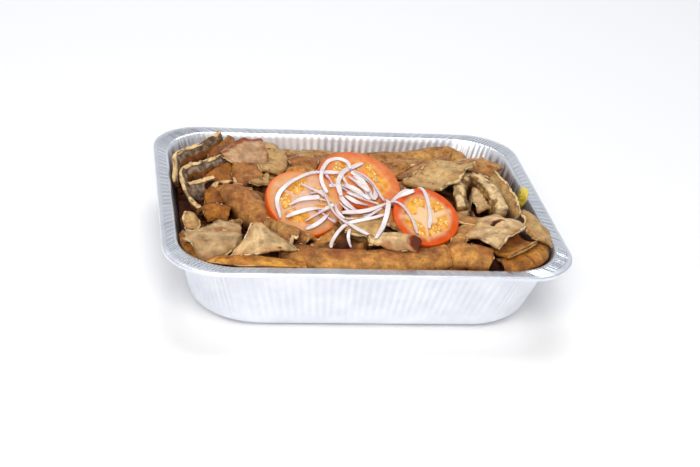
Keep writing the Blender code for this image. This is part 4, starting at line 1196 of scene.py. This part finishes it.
def make_heap(finish, above):
    """The lumpy heap under the strips: a fine grid of heights inside the tray's wall."""
    edge = rim_ring(wall_inset(BED_EDGE) + WALL_GAP, *BED_STEPS)[0]
    turns = len(edge)
    points = []
    for ring in range(BED_RINGS):
        share = 1 - ring / BED_RINGS
        x, y = edge[:, 0] * share, edge[:, 1] * share
        flat = np.column_stack([x, y, 0 * x])
        lift = bed_height(x, y)
        folds = (1 - np.abs(lumps(flat, 19.0, 31))) ** 2 * 5.0
        chunks = 2.2 * lumps(flat, 8.0, 32) + 1.0 * lumps(flat, 4.0, 33)
        lift = lift + ease(1 - share, 0, 0.08) * (folds + chunks - 1.5) - hollow_drop(x, y)
        points.append(np.column_stack([x, y, lift]))
    wall = []
    for height in BED_WALL_HEIGHTS:
        inset = wall_inset(height) + WALL_GAP + max(0, BOTTOM_FILLET - height)
        wall.append(np.column_stack([rim_ring(inset, *BED_STEPS)[0], np.full(turns, height)]))
    points = np.vstack(wall + points)
    start = len(wall) * turns
    points[start:] = tuck(points[start:], above)
    grain = lumps(points, 3.0, 34)
    points[start + turns:, 2] += 0.35 * grain[start + turns:]
    # Painted shade: the heap is painted darker where it sinks below its broad shape, in hollows and
    # under the pieces.
    low = ease(bed_height(points[:, 0], points[:, 1]) - points[:, 2], 2.0, 9.0)
    skin = ease(lumps(points, 14.0, 35), -0.3, 0.3)
    cavity_shade = np.clip(0.35 + 0.4 * low - 0.3 * grain, 0, 1)
    paint = np.column_stack([skin, 0 * skin, cavity_shade, 0.5 + 0 * skin, 0 * skin])
    made = build("heap_core", points, tube(turns, BED_RINGS + len(wall)), finish, paint)
    settle_in(made, "meat_heap", "meat_bed")
    return made


def neighbours(grid):
    """The inner cells of a grid and their eight neighbours, as nine shifted copies."""
    wide, long = grid.shape
    return [grid[1 + di:wide - 1 + di, 1 + dj:long - 1 + dj]
            for di in (-1, 0, 1) for dj in (-1, 0, 1)]


def shade_gaps(names):
    """Paints shade into the food: the deeper a point lies below the heap round it, the darker."""
    trees = [surface(bpy.data.objects[name]) for name in names]
    xs = np.arange(-RIM_HALF_X, RIM_HALF_X, GAP_STEP)
    ys = np.arange(-RIM_HALF_Y, RIM_HALF_Y, GAP_STEP)
    tops = np.full((len(xs), len(ys)), GAP_FLOOR)
    for tree, low, high in trees:
        for i in np.nonzero((xs > low[0]) & (xs < high[0]))[0]:
            for j in np.nonzero((ys > low[1]) & (ys < high[1]))[0]:
                top = top_at(tree, xs[i], ys[j])
                if top is not None and top > tops[i, j]:
                    tops[i, j] = top
    for _ in range(4):
        tops[1:-1, 1:-1] = np.max(neighbours(tops), axis=0)
    for _ in range(3):
        tops[1:-1, 1:-1] = sum(neighbours(tops)) / 9
    for name in names:
        mesh = bpy.data.objects[name].data
        spots = points_of(mesh) / MM
        i = np.clip(np.rint((spots[:, 0] + RIM_HALF_X) / GAP_STEP), 0, len(xs) - 1).astype(int)
        j = np.clip(np.rint((spots[:, 1] + RIM_HALF_Y) / GAP_STEP), 0, len(ys) - 1).astype(int)
        # The depth attribute is painted shade: the deeper a point lies in a gap, the darker it is
        # painted.
        values = ease(tops[i, j] - spots[:, 2], *GAP_SHADE)
        layer = mesh.attributes.new("depth", "FLOAT", "POINT")
        layer.data.foreach_set("value", values.astype(np.float32))


def joined(name, parts, finish):
    """One mesh from several (points, faces, paint) shapes."""
    points, faces, paint, start = [], [], [], 0
    for spots, sides, colours in parts:
        points.append(spots)
        faces += [tuple(place + start for place in side) for side in sides]
        paint.append(colours)
        start += len(spots)
    return build(name, np.vstack(points), faces, finish, np.vstack(paint))


def make_buried_strips(finishes, above, ground):
    """Strips behind the tomatoes and in the gaps, which lie straight on the heap."""
    random = np.random.default_rng(5)
    parts = {"roast": [], "golden": [], "olive": []}
    placed = 0
    while placed < BURIED_STRIPS:
        x, y = random.uniform(-112, 118), random.uniform(-92, 104)
        # The first ones go to the back, where few named pieces hide the heap.
        if y < BACK_START and placed < BACK_STRIPS:
            continue
        placed += 1
        heading = random.uniform(0, 2 * math.pi)
        length = random.uniform(26, 52)
        ahead = np.array([math.cos(heading), math.sin(heading)]) * length / 2
        route = []
        for share in (-1, 0, 1):
            spot = np.array([x, y]) + ahead * share
            spot = keep_inside(np.array([[spot[0], spot[1], 55.0]]), 9.0)[0]
            top = top_at(ground, spot[0], spot[1])
            route.append((spot[0], spot[1], (top or BED_EDGE) + random.uniform(2.5, 5.0)))
        strip = dict(route=route, width=random.uniform(18, 30), curl=random.uniform(50, 150),
                     roll=random.uniform(-14, 14), taper=(0.6, 1.0, 0.7), fray=1.8, torn=0.25)
        points, faces, paint = meat_sheet(strip, 200 + placed, step=1.6)
        points[:, 2] -= hollow_drop(points[:, 0], points[:, 1])
        points = keep_inside(tuck(points, above))
        kind = ("roast", "golden", "olive")[placed % 3]
        parts[kind].append((points, faces, paint))
    for kind, shapes in parts.items():
        made = joined("buried_strips_" + kind, shapes, finishes[kind])
        settle_in(made, "carved_meat")


def make_scraps(finishes, surfaces):
    """Small torn flakes and crumbs of meat that fell in the gaps and on the strips."""
    random = np.random.default_rng(8)
    parts = {"roast": [], "golden": []}
    for number in range(SCRAPS):
        x, y = random.uniform(-135, 138), random.uniform(-108, 104)
        tops = [top_at(tree, x, y) for tree, _, _ in surfaces]
        tops = [top for top in tops if top is not None]
        if not tops:
            continue
        top = max(tops)
        # One in three is a flake and the rest are crumbs. Only crumbs lie on top of the pieces.
        size = random.uniform(2.0, 4.5) if number % 3 else random.uniform(6.0, 11.0)
        if size > 5 and top > bed_height(np.array([x]), np.array([y]))[0] + 4:
            size = random.uniform(1.5, 3.0)
        heading = random.uniform(0, 2 * math.pi)
        ahead = np.array([math.cos(heading), math.sin(heading)]) * size / 2
        route = [(x - ahead[0], y - ahead[1], top + random.uniform(0.2, 0.8)),
                 (x, y, top + 1.0), (x + ahead[0], y + ahead[1], top + random.uniform(0.2, 0.8))]
        strip = dict(route=route, width=size * random.uniform(0.6, 1.0), thick=min(2.2, size * 0.4),
                     curl=random.uniform(30, 120), roll=random.uniform(-25, 25),
                     taper=(0.5, 1.0, 0.6), fray=size * 0.12, crumple=0.3, rim=0.4)
        shape = meat_sheet(strip, 300 + number, step=max(0.8, size / 8))
        parts["golden" if number % 3 == 0 else "roast"].append(
            (keep_inside(shape[0]), shape[1], shape[2]))
    for kind, shapes in parts.items():
        made = joined("meat_scraps_" + kind, shapes, finishes[kind])
        settle_in(made, "carved_meat")


def drape(route, surfaces):
    """A strand's route laid on what is under it, without sharp bends in height."""
    length = smooth_route([(x, y, 0.0) for x, y in route], 3)[1]
    flat, length = smooth_route([(x, y, 0.0) for x, y in route], max(8, int(length / 1.6)))
    heights = []
    for x, y, _ in flat:
        top = BED_EDGE
        for dx, dy in ((-1.3, -1.3), (1.3, -1.3), (0, 0), (-1.3, 1.3), (1.3, 1.3)):
            for tree, low, high in surfaces:
                if low[0] < x + dx < high[0] and low[1] < y + dy < high[1]:
                    here = top_at(tree, x + dx, y + dy)
                    top = max(top, here) if here is not None else top
        heights.append(top)
    heights = np.array(heights)
    lifted = heights.copy()
    for _ in range(60):
        relaxed = lifted.copy()
        relaxed[1:-1] = (lifted[:-2] + 2 * lifted[1:-1] + lifted[2:]) / 4
        lifted = np.maximum(heights - 0.9, relaxed)
    for _ in range(5):
        lifted[1:-1] = (lifted[:-2] + 2 * lifted[1:-1] + lifted[2:]) / 4
    return np.column_stack([flat[:, :2], lifted + ONION_THICK * 0.65])


def onion_ribbon(route, seed, surfaces, share_wide=1.0):
    """Points, faces and paint of a slice through an onion's layer, narrower at its blunt tips."""
    sizes = bpy.context.scene.foil_meal_sizes
    random = np.random.default_rng(seed)
    wide = sizes.onion_width / MM * random.uniform(0.9, 1.12) * share_wide
    spine = drape(route, surfaces)
    spine[:, :2] += 0.5 * lumps(spine * (1, 1, 0), 9.0, seed)[:, None]
    stations = len(spine)
    sideways, upward = directions(spine)
    share = np.linspace(0, 1, stations)
    tip = ease(share, 0, 0.1) * ease(1 - share, 0, 0.1)
    lean = np.radians(random.uniform(-25, 25)) + 0.5 * np.sin(share * 4 + random.uniform(0, 6))
    around = 14
    angles = np.linspace(0, 2 * np.pi, around, endpoint=False)
    points, paint = [], []
    for station in range(stations):
        cos_l, sin_l = math.cos(lean[station]), math.sin(lean[station])
        wing = sideways[station] * cos_l + upward[station] * sin_l
        lift = upward[station] * cos_l - sideways[station] * sin_l
        half_w = wide / 2 * (0.72 + 0.28 * tip[station])
        half_t = ONION_THICK / 2 * (0.6 + 0.4 * tip[station])
        c, s = np.cos(angles), np.sin(angles)
        x = np.sign(c) * np.abs(c) ** 0.4 * half_w
        z = np.sign(s) * np.abs(s) ** 0.5 * half_t + 0.25 * (x / half_w) ** 2
        points.append(spine[station] + np.outer(x, wing) + np.outer(z, lift))
        skin = ease(-c, 0.62, 0.96) * (0.6 + 0.4 * math.sin(9 * share[station]))
        # The lilac at both edges is partly see-through onion, partly painted shade.
        veil_and_edge_shade = ease(np.abs(c), 0.6, 0.98) * 0.6
        paint.append(np.column_stack([skin, veil_and_edge_shade, 0 * skin]))
    points = np.vstack(points)
    points += 0.12 * lumps(points, 2.5, seed)[:, None]
    return points, tube(around, stations), np.vstack(paint)


def make_onion(name, route, seed, finish, surfaces):
    """One named strand of onion."""
    points, faces, paint = onion_ribbon(route, seed, surfaces, BROAD_ONIONS.get(name, 1.0))
    made = build(name + "_sliced", points, faces, finish, paint)
    settle_in(made, "red_onion", name)
    return made


def make_smear(finish):
    """A thumb-sized smear of yellow sauce on the right wall, lapping onto the flange."""
    points = []
    rings, turns = 12, 36
    top = TRAY_HEIGHT - 0.6
    shares = [1 - ring / rings for ring in range(rings)]
    for layer, share in [(0, share) for share in shares[::-1]] + [(1, share) for share in shares]:
        for step in range(turns):
            angle = 2 * math.pi * step / turns
            ragged = 1 + 0.12 * math.sin(2 * angle + 1) + 0.06 * math.sin(5 * angle)
            along = SMEAR_HALF * share * ragged * math.cos(angle)
            climb = -4.5 + 8.5 * share * ragged * math.sin(angle)
            thick = 0.4 + 1.3 * (1 - share ** 2) + 0.3 * math.sin(5 * angle + 9 * share)
            if layer:
                thick = -0.1
            on_wall = min(0.0, climb)
            inset = FLANGE_WIDTH - on_wall * math.sin(WALL_LEAN) - max(0.0, climb)
            height = top + on_wall * math.cos(WALL_LEAN)
            tilt = float(ease(climb, -2.0, 2.0))
            inset += (thick + 0.3) * (1 - tilt)
            height += (thick + 0.3) * tilt
            points.append((RIM_HALF_X - inset, SMEAR_Y + along, min(height, TRAY_HEIGHT + 1.0)))
    made = build("sauce_smear", np.array(points), tube(turns, 2 * rings), finish)
    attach(made, "root")


# ---------------------------------------------------------------- add-on


class FoilMealSizes(bpy.types.PropertyGroup):
    """Sizes that can be changed before the pieces are made."""

    flute_pitch: bpy.props.FloatProperty(
        name="Flute pitch", description="Distance between the wall's flutes",
        default=7.2 * MM, unit="LENGTH")
    flute_depth: bpy.props.FloatProperty(
        name="Flute depth", description="Half height of the flutes on the straight walls",
        default=0.32 * MM, unit="LENGTH")
    pleat_depth: bpy.props.FloatProperty(
        name="Pleat depth", description="Half height of the pleats round the corners",
        default=0.75 * MM, unit="LENGTH")
    onion_width: bpy.props.FloatProperty(
        name="Onion width", description="Width of an onion strand", default=3.7 * MM, unit="LENGTH")


class FoilMealColours(bpy.types.PropertyGroup):
    """Colours that can be changed before the pieces are made."""

    foil: bpy.props.FloatVectorProperty(
        name="Foil", description="Bright foil", subtype="COLOR", default=linear("#F0F3F8")[:3])
    foil_shade: bpy.props.FloatVectorProperty(
        name="Foil shade", description="Duller patches of foil", subtype="COLOR",
        default=linear("#E2E6EE")[:3])
    tomato_skin: bpy.props.FloatVectorProperty(
        name="Tomato skin", description="Skin of the tomato slices", subtype="COLOR",
        default=linear("#D2500A")[:3])
    onion: bpy.props.FloatVectorProperty(
        name="Onion", description="Cut onion", subtype="COLOR", default=linear("#E8E2DA")[:3])
    onion_skin: bpy.props.FloatVectorProperty(
        name="Onion skin", description="Purple rim of the strands", subtype="COLOR",
        default=linear("#8E5C86")[:3])


class FOILMEAL_OT_tray(bpy.types.Operator):
    """Makes the pressed foil tray."""

    bl_idname = "foilmeal.tray"
    bl_label = "Foil tray"

    def execute(self, context):
        make_tray()
        return {"FINISHED"}


class FOILMEAL_OT_tomatoes(bpy.types.Operator):
    """Makes the tomato slices and their seeds."""

    bl_idname = "foilmeal.tomatoes"
    bl_label = "Tomato slices"

    def execute(self, context):
        above = []
        for name, piece in TOMATOES.items():
            made = make_tomato(name, piece, cut_tomato(name, piece), above)
            above.append((surface(made), STRIP_UNDER_SLICE))
        make_seeds(TOMATOES, tomato_seed())
        return {"FINISHED"}


class FOILMEAL_OT_strips(bpy.types.Operator):
    """Makes the named strips of carved meat from the top of the heap down."""

    bl_idname = "foilmeal.strips"
    bl_label = "Carved strips"

    def execute(self, context):
        finishes = {kind: roast_meat(kind) for kind in MEATS}
        above = [(surface(bpy.data.objects[name + "_cut"]), STRIP_UNDER_SLICE)
                 for name in TOMATOES]
        for number, (name, strip) in enumerate(STRIPS.items()):
            made = make_strip(name, strip, 20 + 11 * number, finishes, above)
            above.append((surface(made), STRIP_UNDER_STRIP))
        return {"FINISHED"}


class FOILMEAL_OT_heap(bpy.types.Operator):
    """Makes the heap under the strips, the strips buried in it and the scraps."""

    bl_idname = "foilmeal.heap"
    bl_label = "Heap and scraps"

    def execute(self, context):
        finishes = {kind: bpy.data.materials["carved_meat_" + kind] for kind in MEATS}
        above = [(surface(bpy.data.objects[name + "_cut"]), HEAP_UNDER_SLICE)
                 for name in TOMATOES]
        for name, strip in STRIPS.items():
            hollow = HEAP_UNDER_ROLL if abs(strip["curl"]) > ROLL_CURL else HEAP_UNDER_STRIP
            above.append((surface(bpy.data.objects[name + "_carved"]), hollow))
        heap = make_heap(finishes["roast"], above)
        make_buried_strips(finishes, above, surface(heap)[0])
        lying = [surface(heap)] + [place for place, _ in above[len(TOMATOES):]]
        make_scraps(finishes, lying)
        buried = ["buried_strips_" + kind for kind in ("roast", "golden", "olive")]
        shade_gaps([name + "_carved" for name in STRIPS] + buried + ["heap_core"])
        return {"FINISHED"}


class FOILMEAL_OT_onions(bpy.types.Operator):
    """Drops the onion strands one by one on the heap."""

    bl_idname = "foilmeal.onions"
    bl_label = "Onion strands"

    def execute(self, context):
        finish = sliced_onion()
        names = [name + "_cut" for name in TOMATOES] + [name + "_carved" for name in STRIPS]
        surfaces = [surface(bpy.data.objects[name]) for name in names + ["heap_core"]]
        slivers = [onion_ribbon(route, 80 + number, surfaces,
                                NARROW_SHARE if number < NARROW_SLIVERS else WIDE_SHARE)
                   for number, route in enumerate(SLIVERS)]
        made = joined("onion_slivers", slivers, finish)
        settle_in(made, "red_onion")
        surfaces.append(surface(made))
        for number, (name, route) in enumerate(ONIONS.items()):
            made = make_onion(name, route, 50 + number, finish, surfaces)
            surfaces.append(surface(made))
        return {"FINISHED"}


class FOILMEAL_OT_sauce(bpy.types.Operator):
    """Makes the smear of sauce on the tray's wall."""

    bl_idname = "foilmeal.sauce"
    bl_label = "Sauce smear"

    def execute(self, context):
        make_smear(mustard_sauce())
        return {"FINISHED"}


class FOILMEAL_OT_stage(bpy.types.Operator):
    """Sets up the board, the soft studio light and the camera."""

    bl_idname = "foilmeal.stage"
    bl_label = "Studio"

    def execute(self, context):
        scene = context.scene
        bpy.ops.mesh.primitive_plane_add(size=8.0, location=(0, 0, -0.0002))
        board = context.object
        board.name = "studio_board"
        board.data.materials.append(polished_board())

        world = bpy.data.worlds.new("soft_studio")
        scene.world = world
        world.use_nodes = True
        tree = world.node_tree
        direction = node(tree, "ShaderNodeTexCoord").outputs["Generated"]
        height = node(tree, "ShaderNodeSeparateXYZ", None, {0: direction}).outputs["Z"]
        glow = node(tree, "ShaderNodeMapRange", {"interpolation_type": "SMOOTHSTEP"},
                    {0: height, 1: 0.15, 2: 0.68, 3: 1.12, 4: 0.30}).outputs[0]
        tree.nodes["Background"].inputs["Color"].default_value = linear("#F2F4F8")
        tree.links.new(glow, tree.nodes["Background"].inputs["Strength"])

        for name, place, aim, size, power, tint in LAMPS:
            lamp = bpy.data.lights.new(name, "AREA")
            lamp.shape = "DISK"
            lamp.size = size
            lamp.energy = power
            lamp.color = linear(tint)[:3]
            made = bpy.data.objects.new(name, lamp)
            made.location = place
            made.rotation_euler = (Vector(aim) - Vector(place)).to_track_quat("-Z", "Y").to_euler()
            scene.collection.objects.link(made)

        camera = bpy.data.cameras.new("camera")
        camera.sensor_width = SENSOR_WIDTH
        camera.lens = CAMERA_LENS
        made = bpy.data.objects.new("camera", camera)
        made.location = CAMERA_PLACE
        forward = Vector(CAMERA_AHEAD).normalized()
        right = Vector(CAMERA_RIGHT)
        right = (right - forward * right.dot(forward)).normalized()
        turn = Matrix((right, right.cross(forward), -forward)).transposed()
        made.rotation_euler = turn.to_euler()
        scene.collection.objects.link(made)
        scene.camera = made
        scene.view_settings.view_transform = "Standard"
        return {"FINISHED"}


class FOILMEAL_PT_panel(bpy.types.Panel):
    """Lists the pieces of the foil tray meal."""

    bl_idname = "FOILMEAL_PT_panel"
    bl_label = "Foil Tray Meal"
    bl_space_type = "VIEW_3D"
    bl_region_type = "UI"
    bl_category = "Foil Tray Meal"

    def draw(self, context):
        for group in (context.scene.foil_meal_sizes, context.scene.foil_meal_colours):
            for name in group.bl_rna.properties.keys():
                if name not in {"rna_type", "name"}:
                    self.layout.prop(group, name)
        for operator in OPERATORS:
            self.layout.operator(operator.bl_idname)


GROUPS = (FoilMealSizes, FoilMealColours)
OPERATORS = (FOILMEAL_OT_tray, FOILMEAL_OT_tomatoes, FOILMEAL_OT_strips, FOILMEAL_OT_heap,
             FOILMEAL_OT_onions, FOILMEAL_OT_sauce, FOILMEAL_OT_stage)


def register():
    """Registers the add-on's classes and hangs its settings on the scene."""
    for made in GROUPS + OPERATORS + (FOILMEAL_PT_panel,):
        bpy.utils.register_class(made)
    bpy.types.Scene.foil_meal_sizes = bpy.props.PointerProperty(type=FoilMealSizes)
    bpy.types.Scene.foil_meal_colours = bpy.props.PointerProperty(type=FoilMealColours)


def unregister():
    """Takes the add-on's classes and settings away again."""
    del bpy.types.Scene.foil_meal_colours
    del bpy.types.Scene.foil_meal_sizes
    for made in (FOILMEAL_PT_panel,) + OPERATORS[::-1] + GROUPS[::-1]:
        bpy.utils.unregister_class(made)


def main():
    """Makes every piece in order."""
    register()
    bpy.ops.foilmeal.tray()
    bpy.ops.foilmeal.tomatoes()
    bpy.ops.foilmeal.strips()
    bpy.ops.foilmeal.heap()
    bpy.ops.foilmeal.onions()
    bpy.ops.foilmeal.sauce()
    bpy.ops.foilmeal.stage()


if __name__ == "__main__":
    main()
